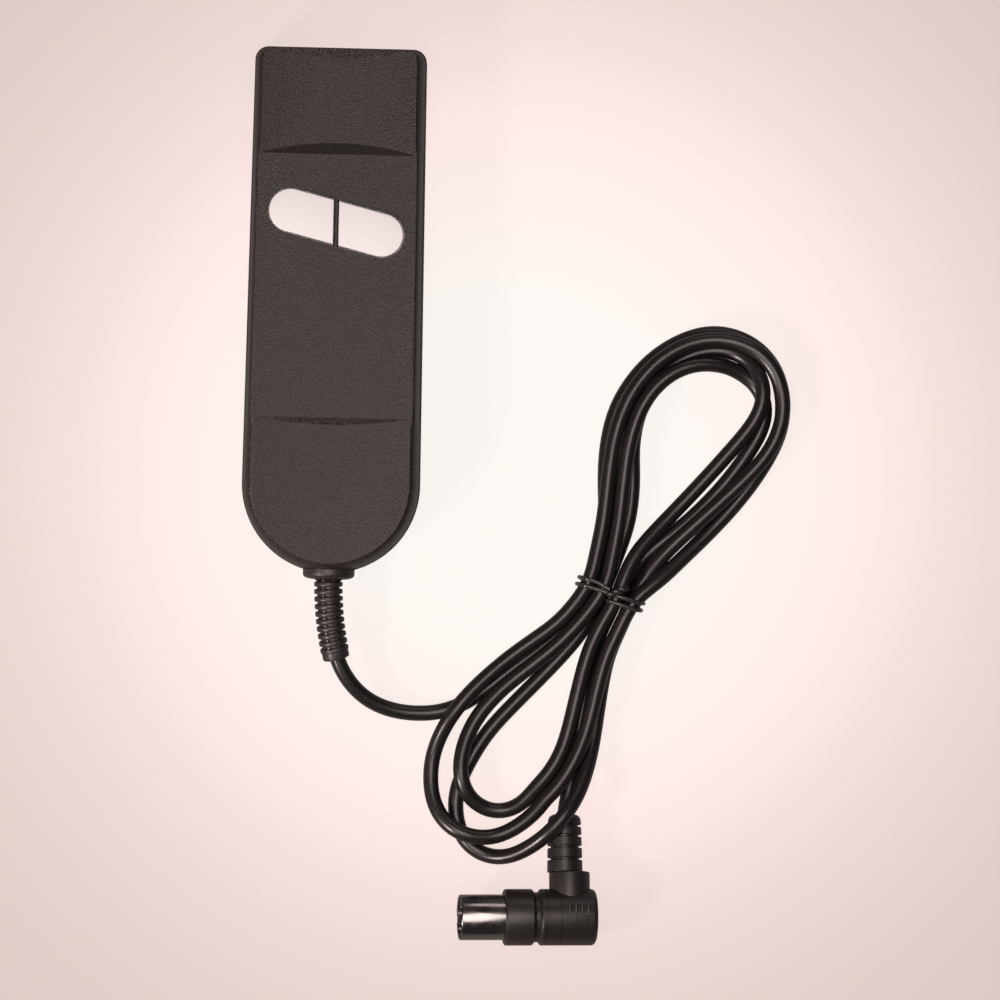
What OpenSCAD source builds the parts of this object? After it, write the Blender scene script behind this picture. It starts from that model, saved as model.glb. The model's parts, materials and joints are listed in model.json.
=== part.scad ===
// Corded two-button hand control: a flat, round-ended case with a pair of white push
// buttons, a ribbed strain relief, a lead tied in a hank and a right-angle round plug.
// Millimetres. The back of the case lies on z = 0 and the case is centred on the origin,
// with the buttons facing +Z and the lead leaving the round end, towards -Y.

/* [Case] */
// Length of the case, from the square end to the round end
case_len = 152.2; // [138:0.1:183]
// Width at the round end
case_w = 51.6; // [46:0.1:62]
// Width at the square end
case_top_w = 49.6; // [44:0.1:60]
// Thickness of the whole case
case_t = 24; // [21.5:0.1:29]
// Height of the seam between the covers, where the cord also leaves
seam_z = 11.5; // [10:0.1:13.5]
// Wall of the covers
wall = 2; // [1.6:0.1:2.4]
// Radius of the square end's corners
corner_r = 3.8; // [3:0.1:5]
// How far the front cover's sides lean in
side_draft = 2; // [1.6:0.1:3.2]
// How far the front cover's round end rolls over
end_roll = 4.6; // [3.5:0.1:5.5]
// How far the back cover stands proud of the front cover at the seam
seam_step = 0.35; // [0.2:0.05:0.5]
// Gap between the covers at the seam
seam_gap = 0.2; // [0.1:0.05:0.3]

/* [Face] */
// Upper end of the flat part of the face
flat_top_y = 44.7; // [40:0.1:50]
// Lower end of the flat part of the face
flat_low_y = -31.2; // [-38:0.1:-25]
// Depth of the thumb hollow above the flat
top_hollow = 1.9; // [1.5:0.1:2.1]
// Depth of the hollow below the flat
low_hollow = 1.1; // [0.8:0.1:1.4]
// Width of both hollows
hollow_w = 45; // [40:0.5:46]
// Length of each millimetre's fall of the hollows' end walls
hollow_slope = 1.75; // [1.2:0.05:2]

/* [Buttons] */
// Width of the buttons
button_w = 12.4; // [10.5:0.1:14.8]
// Distance between the centres of the rounded ends
button_span = 27.2; // [23:0.1:31]
// Turn of the pair, right side down
button_turn = 14; // [0:1:18]
// Height of the pair's centre above the case's centre
button_y = 25; // [22:0.5:27]
// Space around each button
button_gap = 0.4; // [0.3:0.05:0.6]
// Width of the bar between the buttons
bar_w = 0.7; // [0.6:0.05:1.2]
// How far a button stands above the face
button_proud = 0.9; // [0.6:0.1:1.2]
// How far a button travels
button_travel = 0.8; // [0.5:0.1:1]
// Overhang of the flange that keeps a button in
flange_lip = 0.9; // [0.7:0.1:1.2]

/* [Switches and board] */
// Size of each switch across the button pair, along the case and upwards
switch_size = [5.8, 12.8, 6.5];
// Diameter of a switch's plunger
plunger_d = 2; // [1.6:0.1:2.4]
// Distance of each switch from the pair's centre
switch_at = 12.6; // [12:0.1:13.5]
// Distance of each return spring from the pair's centre
spring_at = 5.2; // [5:0.1:5.6]
// Outer diameter of the return springs
spring_d = 4.2; // [3.8:0.1:4.6]
// Wire of the return springs
spring_wire = 0.5; // [0.4:0.05:0.6]
// Thickness of the circuit board
board_t = 1.6; // [1.2:0.2:2]
// Width and length of the circuit board
board_size = [37, 50];
// Height of the board's centre above the case's centre
board_y = 23; // [22:0.5:24]

/* [Cord and strain relief] */
// Diameter of the cord
cord_d = 4.5; // [4.2:0.1:4.8]
// Space between the cord and what it runs through
cord_gap = 0.1; // [0.05:0.05:0.2]
// Diameter of the strain relief's ribs
rib_d = 8.3; // [7.9:0.1:8.4]
// Diameter between the ribs
rib_root_d = 7.2; // [6.8:0.1:7.5]
// Number of ribs
rib_count = 10; // [8:1:11]
// Free length of the strain relief along its bend
relief_len = 25; // [22:0.5:28]
// Angle through which the strain relief bends
relief_bend = 17.2; // [10:0.1:20]
// Diameter of the lip outside the case
lip_d = 15; // [14:0.1:16]
// How far the lip stands out of the case
lip_out = 1.8; // [1.5:0.1:2.2]

/* [Plug] */
// Diameter of the plug's body
plug_d = 16.4; // [16:0.1:16.4]
// Diameter of the metal shield, a standard size
shield_d = 13.25; // [13.2:0.05:13.3]
// Length of shield in view
shield_len = 12.9; // [11:0.1:14]
// Length of the body
plug_len = 26.9; // [26:0.1:29]
// Reach of the boot from the plug's axis
boot_reach = 29.9; // [29:0.1:30]
// Diameter of the boot
boot_d = 10.3; // [10:0.1:10.4]
// Angle by which the shield's tip is raised
plug_pitch = 7; // [0:1:8]
// Diameter of the circle of pins
pin_circle_d = 7; // [6.9:0.05:7.1]
// Diameter of each pin
pin_d = 1.45; // [1.4:0.05:1.5]

/* [Hidden] */
$fn = 48;
eps = 0.01;

black = [0.25, 0.22, 0.21];
white = [0.93, 0.91, 0.89];
pvc = [0.1, 0.1, 0.1];
steel = [0.72, 0.72, 0.74];

// Case: the centre of the round end, and what the covers leave inside
end_r = case_w / 2;
end_y = end_r - case_len / 2;
face_z = case_t;
ceiling_low = face_z - top_hollow - wall;
slack = 0.2;
ceiling_flat = face_z - wall - slack;

// Heights of what moves and what carries it, from the face down. A pressed button's
// plunger still stands a little above its switch.
flange_t = 1.2;
skirt = 0.8;
flange_top = ceiling_flat - slack;
flange_low = flange_top - flange_t;
button_low = flange_low - skirt;
plunger_h = button_travel + 0.4;
board_top = button_low - plunger_h - switch_size[2];
board_z = board_top - board_t;

// Outline of the case, moved in by a margin at the sides, the square end and the round
// end, as one closed loop of points.
function arc(cx, cy, r, from, to, n) =
    [for (i = [0 : n]) let (a = from + (to - from) * i / n) [cx + r * cos(a), cy + r * sin(a)]];
function outline(side, square_end, round_end) =
    let (r = end_r - side, squash = (end_r - round_end) / r, hw = case_top_w / 2 - side,
        c = max(corner_r - side, 1), top = case_len / 2 - square_end)
    concat(
        [for (p = arc(0, 0, r, 180, 360, 36)) [p[0], end_y + p[1] * squash]],
        arc(hw - c, top - c, c, 0, 90, 8),
        arc(c - hw, top - c, c, 90, 180, 8));

module slab(z, h, side, square_end, round_end) {
    translate([0, 0, z]) linear_extrude(h) polygon(outline(side, square_end, round_end));
}

// The front cover's outer form: leaning sides, an upright square end, a rolled round end
module front_form(inset, top_z) {
    rise = top_z - seam_z;
    hull() {
        slab(seam_z, 0.1, seam_step + inset, seam_step + inset, seam_step + inset);
        for (s = [[0.55, 0.42, 0.1], [0.8, 0.66, 0.3], [0.94, 0.85, 0.62], [1, 1, 1]])
            slab(seam_z + rise * s[0] - 0.1, 0.1, seam_step + inset + side_draft * s[1],
                seam_step + inset + 0.4 * s[0], seam_step + inset + end_roll * s[2]);
    }
}

module back_form(inset, low_z, high_z) {
    foot = 1.4;
    hull() {
        slab(low_z, 0.1, foot + inset, foot + inset, foot + inset);
        slab(low_z + foot * 0.35, 0.1, foot * 0.35 + inset, foot * 0.35 + inset, foot * 0.35 + inset);
        slab(low_z + foot, high_z - low_z - foot, inset, inset, inset);
    }
}

// A shallow trough along the face, deepest in the middle, with sloping end walls
module hollow(depth, low_y, high_y) {
    r = (pow(hollow_w / 2, 2) + pow(depth, 2)) / (2 * depth);
    run = depth * hollow_slope;
    intersection() {
        translate([0, low_y - 1, face_z - depth + r]) rotate([-90, 0, 0])
            cylinder(r = r, h = high_y - low_y + 2, $fn = 180);
        translate([-hollow_w / 2 - 1, 0, 0]) rotate([90, 0, 90]) linear_extrude(hollow_w + 2)
            polygon([[low_y, face_z + 0.01], [low_y + run, face_z - depth - 0.01],
                [high_y - run, face_z - depth - 0.01], [high_y, face_z + 0.01],
                [high_y, face_z + 2], [low_y, face_z + 2]]);
    }
}

// Screws hold the covers together at four posts
post_d = 7;
post_x = case_top_w / 2 - wall - post_d / 2 - 0.9;
post_low_x = 17.2;
post_at = [[post_x, case_len / 2 - 13], [-post_x, case_len / 2 - 13],
    [post_low_x, end_y + 4], [-post_low_x, end_y + 4]];
head_d = 5.6;
head_h = 2.2;
shank_d = 2.5;
head_seat_z = 6;
thread_gap = 0.02;

// Lead-out: a pocket for the lip, a web that the relief is trapped in, and an inner flange
exit_y = -case_len / 2;
pocket_depth = 1.4;
web = 1.6;
web_y = exit_y + pocket_depth;
inner_flange_y = web_y + web;
inner_flange = 1.8;
inner_flange_d = 12;
neck_d = 8.4;
relief_gap = 0.05;

module along_y(x, z, from, to, d) {
    translate([x, from, z]) rotate([-90, 0, 0]) cylinder(d = d, h = to - from);
}

module exit_cuts() {
    along_y(0, seam_z, exit_y - 3, web_y, lip_d + 0.4);
    along_y(0, seam_z, web_y - 1, inner_flange_y + 1, neck_d + 0.2);
    along_y(0, seam_z, inner_flange_y, inner_flange_y + 8, inner_flange_d + 0.2);
}

module exit_wall(z0, z1) {
    translate([-9.5, exit_y + 0.5, z0]) cube([19, inner_flange_y + inner_flange - exit_y - 0.4, z1 - z0]);
}

// Clamp on the cord, inside the case
clamp_y = exit_y + 15;
clamp_size = [17, 5, 2.6];
clamp_screw_x = 5.6;
clamp_gap = 0.3;
saddle_z = seam_z - clamp_gap;

// Board
board_hole_y = [board_y - board_size[1] / 2 + 4, board_y + board_size[1] / 2 - 4];
board_post_d = 6.4;

module back_cover() color(black) difference() {
    union() {
        difference() {
            back_form(0, 0, seam_z - seam_gap / 2);
            translate([0, 0, wall]) slab(0, seam_z, wall, wall, wall);
        }
        intersection() {
            back_form(0.5, 0.5, seam_z - seam_gap / 2);
            union() {
                exit_wall(0.5, seam_z);
                for (p = post_at) translate([p[0], p[1], 1]) cylinder(d = post_d, h = seam_z);
                translate([-clamp_size[0] / 2, clamp_y - clamp_size[1] / 2, 1])
                    cube([clamp_size[0], clamp_size[1], saddle_z - 1]);
            }
        }
        for (y = board_hole_y) translate([0, y, 1]) cylinder(d = board_post_d, h = board_z - 1 - eps);
    }
    exit_cuts();
    along_y(0, seam_z, clamp_y - 5, clamp_y + 5, cord_d);
    for (p = post_at) translate([p[0], p[1], -1]) {
        cylinder(d = head_d + 0.6, h = head_seat_z + 1);
        cylinder(d = shank_d + 0.8, h = case_t);
    }
    for (y = board_hole_y) translate([0, y, 3]) cylinder(d = 2 + thread_gap, h = case_t);
    for (x = [-1, 1]) translate([x * clamp_screw_x, clamp_y, 3]) cylinder(d = 2 + thread_gap, h = case_t);
}

// Buttons: a pill cut in two by a bar that runs straight along the case
module pill(r, z0, z1) {
    translate([0, button_y, z0]) rotate(-button_turn) {
        for (s = [-1, 1]) translate([s * button_span / 2, 0, 0]) cylinder(r = r, h = z1 - z0);
        translate([-button_span / 2, -r, 0]) cube([button_span, 2 * r, z1 - z0]);
    }
}

// Half the room under the flat part of the face, which clears the buttons' flanges
flat_room = button_span / 2 * cos(button_turn) + button_w / 2 + flange_lip + 0.3;
module front_cover() color(black) difference() {
    union() {
        difference() {
            front_form(0, face_z);
            front_form(wall, ceiling_low);
            translate([0, 0, seam_z]) slab(-1, 1.2, wall + seam_step, wall + seam_step, wall + seam_step);
            // The ceiling is higher under the flat part of the face
            translate([-flat_room, flat_low_y + 2, seam_z])
                cube([2 * flat_room, flat_top_y - flat_low_y - 4, ceiling_flat - seam_z]);
        }
        intersection() {
            front_form(0.5, face_z - top_hollow - 0.6);
            union() {
                exit_wall(seam_z, face_z);
                for (p = post_at) translate([p[0], p[1], seam_z]) cylinder(d = post_d, h = case_t);
            }
        }
    }
    translate([-case_w, -case_len, seam_z - 1]) cube([2 * case_w, 2 * case_len, 1 + seam_gap / 2]);
    exit_cuts();
    hollow(top_hollow, flat_top_y, case_len / 2 - 0.5);
    hollow(low_hollow, -case_len, flat_low_y);
    for (p = post_at) translate([p[0], p[1], seam_z - 1])
        cylinder(d = shank_d + 2 * thread_gap, h = 1 + ceiling_low - seam_z - 0.4);
    difference() {
        pill(button_w / 2 + button_gap, seam_z, face_z + 2);
        translate([-bar_w / 2, button_y - button_w, ceiling_flat])
            cube([bar_w, 2 * button_w, case_t]);
    }
}

module case_screws() color(steel) {
    top = ceiling_low - 1.5;
    for (p = post_at) translate([p[0], p[1], 0]) difference() {
        union() {
            translate([0, 0, head_seat_z - head_h]) cylinder(d = head_d, h = head_h);
            translate([0, 0, head_seat_z - eps]) cylinder(d = shank_d, h = top - head_seat_z);
        }
        for (a = [0, 90]) rotate(a) translate([-1.7, -0.35, head_seat_z - head_h - 1])
            cube([3.4, 0.7, 2.1]);
    }
}

half_gap = bar_w / 2 + button_gap;

module half_plane(side, gap) {
    translate([side > 0 ? gap : -case_w - gap, button_y - case_w, seam_z]) cube([case_w, 2 * case_w, case_t]);
}

module button(side) color(white) {
    crown = 0.4;
    intersection() {
        union() {
            pill(button_w / 2, button_low, face_z + button_proud - crown);
            pill(button_w / 2 - crown, button_low, face_z + button_proud);
            pill(button_w / 2 + flange_lip, flange_low, flange_top);
        }
        half_plane(side, half_gap);
    }
    // Peg inside the return spring
    at_pair(side * spring_at) translate([0, 0, button_low - 2.4])
        cylinder(d = spring_d - 2 * spring_wire - 0.5, h = 2.4 + eps);
}

module at_pair(x) {
    translate([0, button_y, 0]) rotate(-button_turn) translate([x, 0, 0]) children();
}

module button_left() { button(-1); }
module button_right() { button(1); }

// Rings of points swept along a route, closed with a cap at each end
function unit(v) = v / norm(v);
function ring(p, t, r, n) =
    let (u = unit(cross(abs(t[2]) > 0.9 ? [1, 0, 0] : [0, 0, 1], t)), v = cross(t, u))
    [for (i = [0 : n - 1]) let (a = 360 * i / n) p + r * (cos(a) * u + sin(a) * v)];
module tube(route, r, n) {
    last = len(route) - 1;
    points = [for (i = [0 : last])
        each ring(route[i], unit(route[min(i + 1, last)] - route[max(i - 1, 0)]), r, n)];
    polyhedron(points, concat(
        [[for (i = [n - 1 : -1 : 0]) i]],
        [for (k = [0 : last - 1], i = [0 : n - 1]) let (j = (i + 1) % n)
            each [[k * n + i, k * n + j, (k + 1) * n + j], [k * n + i, (k + 1) * n + j, (k + 1) * n + i]]],
        [[for (i = [0 : n - 1]) last * n + i]]));
}

// A smooth curve through a list of points, with the same number of steps in each gap
function smooth_at(a, b, c, d, t) =
    0.5 * ((2 * b) + (c - a) * t + (2 * a - 5 * b + 4 * c - d) * t * t + (3 * b - a - 3 * c + d) * t * t * t);
function smooth(pts, steps) =
    let (last = len(pts) - 1)
    concat([for (i = [0 : last - 1], k = [0 : steps - 1])
        smooth_at(pts[max(i - 1, 0)], pts[i], pts[i + 1], pts[min(i + 2, last)], k / steps)],
        [pts[last]]);

module return_spring(side) color(steel) {
    turns = 5;
    low = board_top + spring_wire / 2 + eps;
    high = button_low - spring_wire / 2 - eps;
    r = (spring_d - spring_wire) / 2;
    at_pair(side * spring_at)
        tube([for (i = [0 : turns * 12]) let (a = 30 * i)
            [r * cos(a), r * sin(a), low + (high - low) * i / (turns * 12)]], spring_wire / 2, 6);
}

module spring_left() { return_spring(-1); }
module spring_right() { return_spring(1); }

module switch_body(side) color([0.12, 0.12, 0.13]) at_pair(side * switch_at)
    translate([0, 0, board_top + eps]) difference() {
        translate([-switch_size[0] / 2, -switch_size[1] / 2, 0]) cube(switch_size);
        translate([0, 0, switch_size[2] - 2.5]) cylinder(d = plunger_d + 0.2, h = 3);
        for (y = [-3.25, 3.25]) translate([-switch_size[0], y, 2.2]) rotate([0, 90, 0])
            cylinder(d = 2, h = 2 * switch_size[0]);
    }

module switch_left() { switch_body(-1); }
module switch_right() { switch_body(1); }

module plunger(side) color("firebrick") at_pair(side * switch_at)
    translate([0, 0, board_top + switch_size[2] - 1.4])
        cylinder(d = plunger_d, h = button_low - board_top - switch_size[2] + 1.4 - 2 * eps);

module plunger_left() { plunger(-1); }
module plunger_right() { plunger(1); }

pin_rows = [-5.08, 0, 5.08];
pin_down = 2;

module switch_pins() color([0.8, 0.75, 0.55]) for (side = [-1, 1], y = pin_rows)
    at_pair(side * switch_at) translate([-0.4, y - 0.25, board_top - board_t - pin_down])
        cube([0.8, 0.5, board_t + pin_down]);

header_at = [0, board_y - board_size[1] / 2 + 11];
header_size = [9, 5, 6];
wire_pitch = 2.5;
wire_d = 1.3;

module circuit_board() color([0.1, 0.35, 0.2]) difference() {
    translate([-board_size[0] / 2, board_y - board_size[1] / 2, board_z])
        cube([board_size[0], board_size[1], board_t]);
    for (y = board_hole_y) translate([0, y, board_z - 1]) cylinder(d = 2.6, h = 4);
    for (side = [-1, 1], y = pin_rows) at_pair(side * switch_at)
        translate([-0.5, y - 0.35, board_z - 1]) cube([1, 0.7, 4]);
}

module small_screw(seat_z, length) {
    translate([0, 0, seat_z]) difference() {
        cylinder(d = 4, h = 1.6);
        for (a = [0, 90]) rotate(a) translate([-1.2, -0.25, 0.7]) cube([2.4, 0.5, 2]);
    }
    translate([0, 0, seat_z - length]) cylinder(d = 2, h = length + eps);
}

module board_screws() color(steel) for (y = board_hole_y)
    translate([0, y, 0]) small_screw(board_top, 6);

module wire_header() color([0.93, 0.9, 0.82]) difference() {
    translate([header_at[0] - header_size[0] / 2, header_at[1] - header_size[1] / 2, board_top + eps])
        cube(header_size);
    for (i = [-1, 0, 1]) along_y(header_at[0] + i * wire_pitch, board_top + 3,
        header_at[1] - 4, header_at[1] + 1, wire_d + 0.2);
}

// Each wire rises out of the jacket's end, passes over the clamp's end of the board and
// goes into its place in the header
entry_end_y = clamp_y + 6;
module wire(i, shade) color(shade) {
    start = [i * 1.25, entry_end_y, seam_z + (i == 0 ? 0.7 : -0.7)];
    finish = [header_at[0] + i * wire_pitch, header_at[1], board_top + 3];
    tube(smooth([start, start + [0, 5, 0], start + [i * 3, 16, 1.2], [i * 5.5, -20, seam_z + 3.5],
        [i * 5, 0, board_top + 3.6], finish - [0, 4, 0], finish], 3), wire_d / 2, 8);
}

module wire_red() { wire(-1, "red"); }
module wire_black() { wire(0, [0.15, 0.15, 0.15]); }
module wire_white() { wire(1, "white"); }

module solder_joints() color([0.75, 0.76, 0.78]) for (side = [-1, 1], y = pin_rows)
    at_pair(side * switch_at) translate([0, y, board_z - 0.9]) difference() {
        cylinder(d1 = 1.1, d2 = 2.2, h = 0.9 - eps);
        translate([-0.41, -0.26, -1]) cube([0.82, 0.52, 3]);
    }

module cord_clamp() color([0.2, 0.2, 0.2]) difference() {
    translate([-clamp_size[0] / 2, clamp_y - clamp_size[1] / 2, seam_z + clamp_gap])
        cube(clamp_size);
    along_y(0, seam_z, clamp_y - 5, clamp_y + 5, cord_d);
    for (x = [-1, 1]) translate([x * clamp_screw_x, clamp_y, seam_z]) cylinder(d = 2.4, h = 8);
}

module clamp_screws() color(steel) for (x = [-1, 1])
    translate([x * clamp_screw_x, clamp_y, 0]) small_screw(seam_z + clamp_gap + clamp_size[2], 8.4);

// Strain relief: it leaves the case straight and bends towards +X and down
relief_root_y = exit_y - lip_out;
relief_free = relief_len - lip_out;
bend_r = relief_free / (relief_bend * PI / 180);
bend_roll = 35.5;
relief_collar = 2.9;

function relief_point(share) =
    let (a = relief_bend * share, off = bend_r * (1 - cos(a)))
    [off * cos(bend_roll), relief_root_y - bend_r * sin(a), seam_z - off * sin(bend_roll)];

// A rod along part of the bend, between two shares of its length
module bent_rod(d, from, to) {
    translate([0, relief_root_y, seam_z]) rotate([0, bend_roll, 0]) translate([bend_r, 0, 0])
        rotate(180 + relief_bend * from) rotate_extrude(angle = relief_bend * (to - from), $fn = 180)
            translate([bend_r, 0]) circle(d = d);
}

module strain_relief() color(pvc) difference() {
    pitch = 1 / (rib_count + 1);
    union() {
        along_y(0, seam_z, relief_root_y, web_y - relief_gap, lip_d);
        along_y(0, seam_z, web_y - 1, inner_flange_y + 1, neck_d);
        along_y(0, seam_z, inner_flange_y + relief_gap, inner_flange_y + inner_flange, inner_flange_d);
        bent_rod(rib_root_d, 0, 1);
        for (i = [0 : rib_count - 1]) bent_rod(rib_d, (i + 0.35) * pitch, (i + 0.9) * pitch);
        bent_rod(rib_d - 0.5, 1 - relief_collar / relief_free, 1);
    }
    bent_rod(cord_d + 2 * cord_gap, 0, 1.02);
    // The straight part of the bore is a little wider, so that the cord enters freely
    along_y(0, seam_z, relief_root_y, inner_flange_y + inner_flange + 1, cord_d + 4 * cord_gap);
}

// The cord's round jacket, from inside the case to the lip's outer face
module cord_entry() color(pvc) along_y(0, seam_z, relief_root_y, entry_end_y, cord_d);

// Where the lead lies: down out of the strain relief and along the ground to the hank
lead_route = [[6.5, -107.5, 7.6], [12.5, -113, 5.2], [21, -116, 3.2], [31, -116.2, 2.25],
    [38.5, -114, 2.25], [46, -109, 2.25]];

module cord_lead() color(pvc) tube(smooth(concat(
    [for (s = [0, 0.25, 0.5, 0.75, 1]) relief_point(s)], lead_route), 3), cord_d / 2 - 0.02, 10);

// Hank: two drop-shaped loops that meet at the tie, each as wide as the turns in it
hank_h = 9;
tie_at = [81.75, -80.1];
waist_r = 9;
upper_loop = [107, -27];
upper_r = 25.8;
upper_eye = [107, -30];
upper_eye_r = 15.3;
upper_eye_tip = [89.6, -64];
lower_loop = [51.5, -137];
lower_r = 23;
lower_eye = [54, -129.8];
lower_eye_r = 12.5;
lower_eye_tip = [74, -95.5];
eye_tip_r = 1;

// Outline round two circles and the straight lines that touch both
function drop(c1, r1, c2, r2) =
    let (d = c2 - c1, dir = atan2(d[1], d[0]), open = acos((r1 - r2) / norm(d)))
    concat(arc(c1[0], c1[1], r1, dir + open, dir + 360 - open, 40),
        arc(c2[0], c2[1], r2, dir - open, dir + open, 12));

module hank_loop(loop, loop_r, eye, eye_r, tip) {
    difference() {
        linear_extrude(hank_h) polygon(drop(loop, loop_r, tie_at, waist_r));
        translate([0, 0, -1]) linear_extrude(hank_h + 2) polygon(drop(eye, eye_r, tip, eye_tip_r));
    }
}

module cord_hank() color(pvc) difference() {
    union() {
        hank_loop(upper_loop, upper_r, upper_eye, upper_eye_r, upper_eye_tip);
        hank_loop(lower_loop, lower_r, lower_eye, lower_eye_r, lower_eye_tip);
    }
    // Room for the boot, which lies under the last turn
    at_plug() along_y(0, 0, -1, boot_reach, boot_d + 0.6);
    at_plug() translate([-boot_d / 2 - 0.3, -1, 0]) cube([boot_d + 0.6, boot_reach + 1, hank_h * 2]);
}

// Tie: two turns of coated wire round the waist, and their twisted ends on top
tie_turn = -18.2;
tie_wire = 1.1;
tie_pitch = 3;

// One turn: a post at each side of the waist and a bar across the top
module tie_loop() {
    for (x = [-waist_r - tie_wire, waist_r]) translate([x, -tie_wire / 2, 0])
        cube([tie_wire, tie_wire, hank_h + tie_wire]);
    translate([-waist_r, -tie_wire / 2, hank_h]) cube([2 * waist_r, tie_wire, tie_wire]);
}

module cord_tie() color(pvc) translate([tie_at[0], tie_at[1], 0]) rotate(tie_turn) {
    for (y = [-tie_pitch / 2, tie_pitch / 2]) translate([0, y, 0]) tie_loop();
    for (x = [-waist_r - tie_wire, waist_r]) translate([x, -tie_pitch / 2, hank_h - 2])
        cube([tie_wire, tie_pitch, 2]);
    // The ends, twisted together
    translate([-3, tie_pitch / 2, hank_h + tie_wire]) rotate([0, 90, 20])
        cylinder(d = 2 * tie_wire, h = 8);
}

// Plug: its axis runs along local X and the boot along local Y, turned so that the heel of
// the body and the boot's end both lie on the ground
plug_at = [71, -174.2];
plug_turn = 2;
plug_x0 = -18.1;
heel_chamfer = 0.8;
plug_heel = plug_x0 + plug_len - heel_chamfer;
plug_z = plug_d / 2 * cos(plug_pitch) + plug_heel * sin(plug_pitch);
plug_roll = asin((plug_z - boot_d / 2) / boot_reach);
neck_d2 = 11.8;
neck_x = 1.3;
neck_reach = 13.1;
// Depth of the shield's seat in the body, and the shoulder that holds it there
shield_seat = 8;
shoulder_d = shield_d + 0.5;
module at_plug() {
    translate([plug_at[0], plug_at[1], plug_z]) rotate(plug_turn) rotate([-plug_roll, 0, 0])
        rotate([0, plug_pitch, 0]) children();
}
module along_x(y, z, from, to, d) {
    translate([from, y, z]) rotate([0, 90, 0]) cylinder(d = d, h = to - from);
}

tail_reach = 10;
module cord_tail() color(pvc) at_plug() along_y(0, 0, tail_reach, boot_reach, cord_d);

module plug_boot() color(pvc) at_plug() difference() {
    union() {
        along_y(0, 0, neck_reach + eps, boot_reach - 1.2, boot_d);
        translate([0, boot_reach - 1.2, 0]) rotate([-90, 0, 0]) cylinder(d1 = boot_d, d2 = boot_d - 2, h = 1.2);
    }
    for (y = [16.9, 20.4, 23.6, 26.5]) translate([0, y, 0]) rotate([-90, 0, 0]) difference() {
        cylinder(d = boot_d + 2, h = 0.8, center = true);
        cylinder(d = boot_d - 1.2, h = 2, center = true);
    }
    along_y(0, 0, neck_reach - 1, boot_reach + 1, cord_d + 2 * cord_gap);
}

module plug_housing() color(pvc) at_plug() difference() {
    union() {
        along_x(0, 0, plug_x0, plug_heel, plug_d);
        translate([plug_heel, 0, 0]) rotate([0, 90, 0])
            cylinder(d1 = plug_d, d2 = plug_d - 3 * heel_chamfer, h = heel_chamfer);
        along_y(neck_x, 0, 0, neck_reach, neck_d2);
        for (i = [0 : 3]) translate([0.3 + 1.83 * i - 0.35, 0.2, plug_d / 2 - 0.9]) cube([0.7, 3.6, 1.2]);
    }
    // Finger groove round the body, and two parting lines
    translate([plug_x0 + 8.1, 0, 0]) rotate([0, 90, 0]) rotate_extrude() polygon(
        [[plug_d / 2 - 1, 1.3], [plug_d / 2 + 0.1, 0], [plug_d / 2 + 0.1, 2.6]]);
    for (x = [11.7, 16.1]) translate([plug_x0 + x, 0, 0]) rotate([0, 90, 0]) difference() {
        cylinder(d = plug_d + 1, h = 0.3);
        translate([0, 0, -1]) cylinder(d = plug_d - 0.6, h = 3);
    }
    along_x(0, 0, plug_x0 - 1, plug_x0 + shield_seat, shoulder_d);
    along_y(0, 0, tail_reach, neck_reach + 1, cord_d + 2 * cord_gap);
}

shield_wall = 0.5;
module plug_shield() color([0.85, 0.85, 0.87]) at_plug() difference() {
    union() {
        along_x(0, 0, plug_x0 - shield_len, plug_x0 + 1, shield_d);
        along_x(0, 0, plug_x0, plug_x0 + shield_seat - 0.1, shoulder_d);
    }
    along_x(0, 0, plug_x0 - shield_len - 1, plug_x0 + shield_seat + 1, shield_d - 2 * shield_wall);
    // Key slot
    translate([plug_x0 - shield_len - 1, -1.1, -shield_d]) cube([6, 2.2, shield_d]);
}

insert_face = plug_x0 - 1.5;
module plug_insert() color([0.06, 0.06, 0.06]) at_plug() difference() {
    along_x(0, 0, insert_face, plug_x0 + shield_seat - 0.2, shield_d - 2 * shield_wall - 0.04);
    pins(pin_d + 0.02, -1, 1);
}

module pins(d, from, to) {
    for (a = [0 : 45 : 180])
        along_x(pin_circle_d / 2 * cos(a), pin_circle_d / 2 * sin(a), plug_x0 - shield_len + 3 + from,
            plug_x0 + shield_seat - 0.2 + to, d);
}

module plug_pins() color([0.8, 0.8, 0.8]) at_plug() pins(pin_d, 0, 0);

back_cover();
front_cover();
case_screws();
button_left();
button_right();
spring_left();
spring_right();
switch_left();
switch_right();
plunger_left();
plunger_right();
switch_pins();
circuit_board();
board_screws();
wire_header();
wire_red();
wire_black();
wire_white();
solder_joints();
cord_clamp();
clamp_screws();
strain_relief();
cord_entry();
cord_lead();
cord_hank();
cord_tie();
cord_tail();
plug_boot();
plug_housing();
plug_shield();
plug_insert();
plug_pins();
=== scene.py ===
"""Looks of a corded two-button hand control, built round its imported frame.

The case, the buttons, the strain relief, the cord, its tie and its right-angle plug are
modelled here in millimetres and scaled to metres when each piece is finished.
"""

import json
import logging
import math
from collections.abc import Callable, Iterable
from dataclasses import dataclass, field
from enum import Enum

import bmesh
import bpy
import numpy as np
from mathutils import Matrix, Vector


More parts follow.
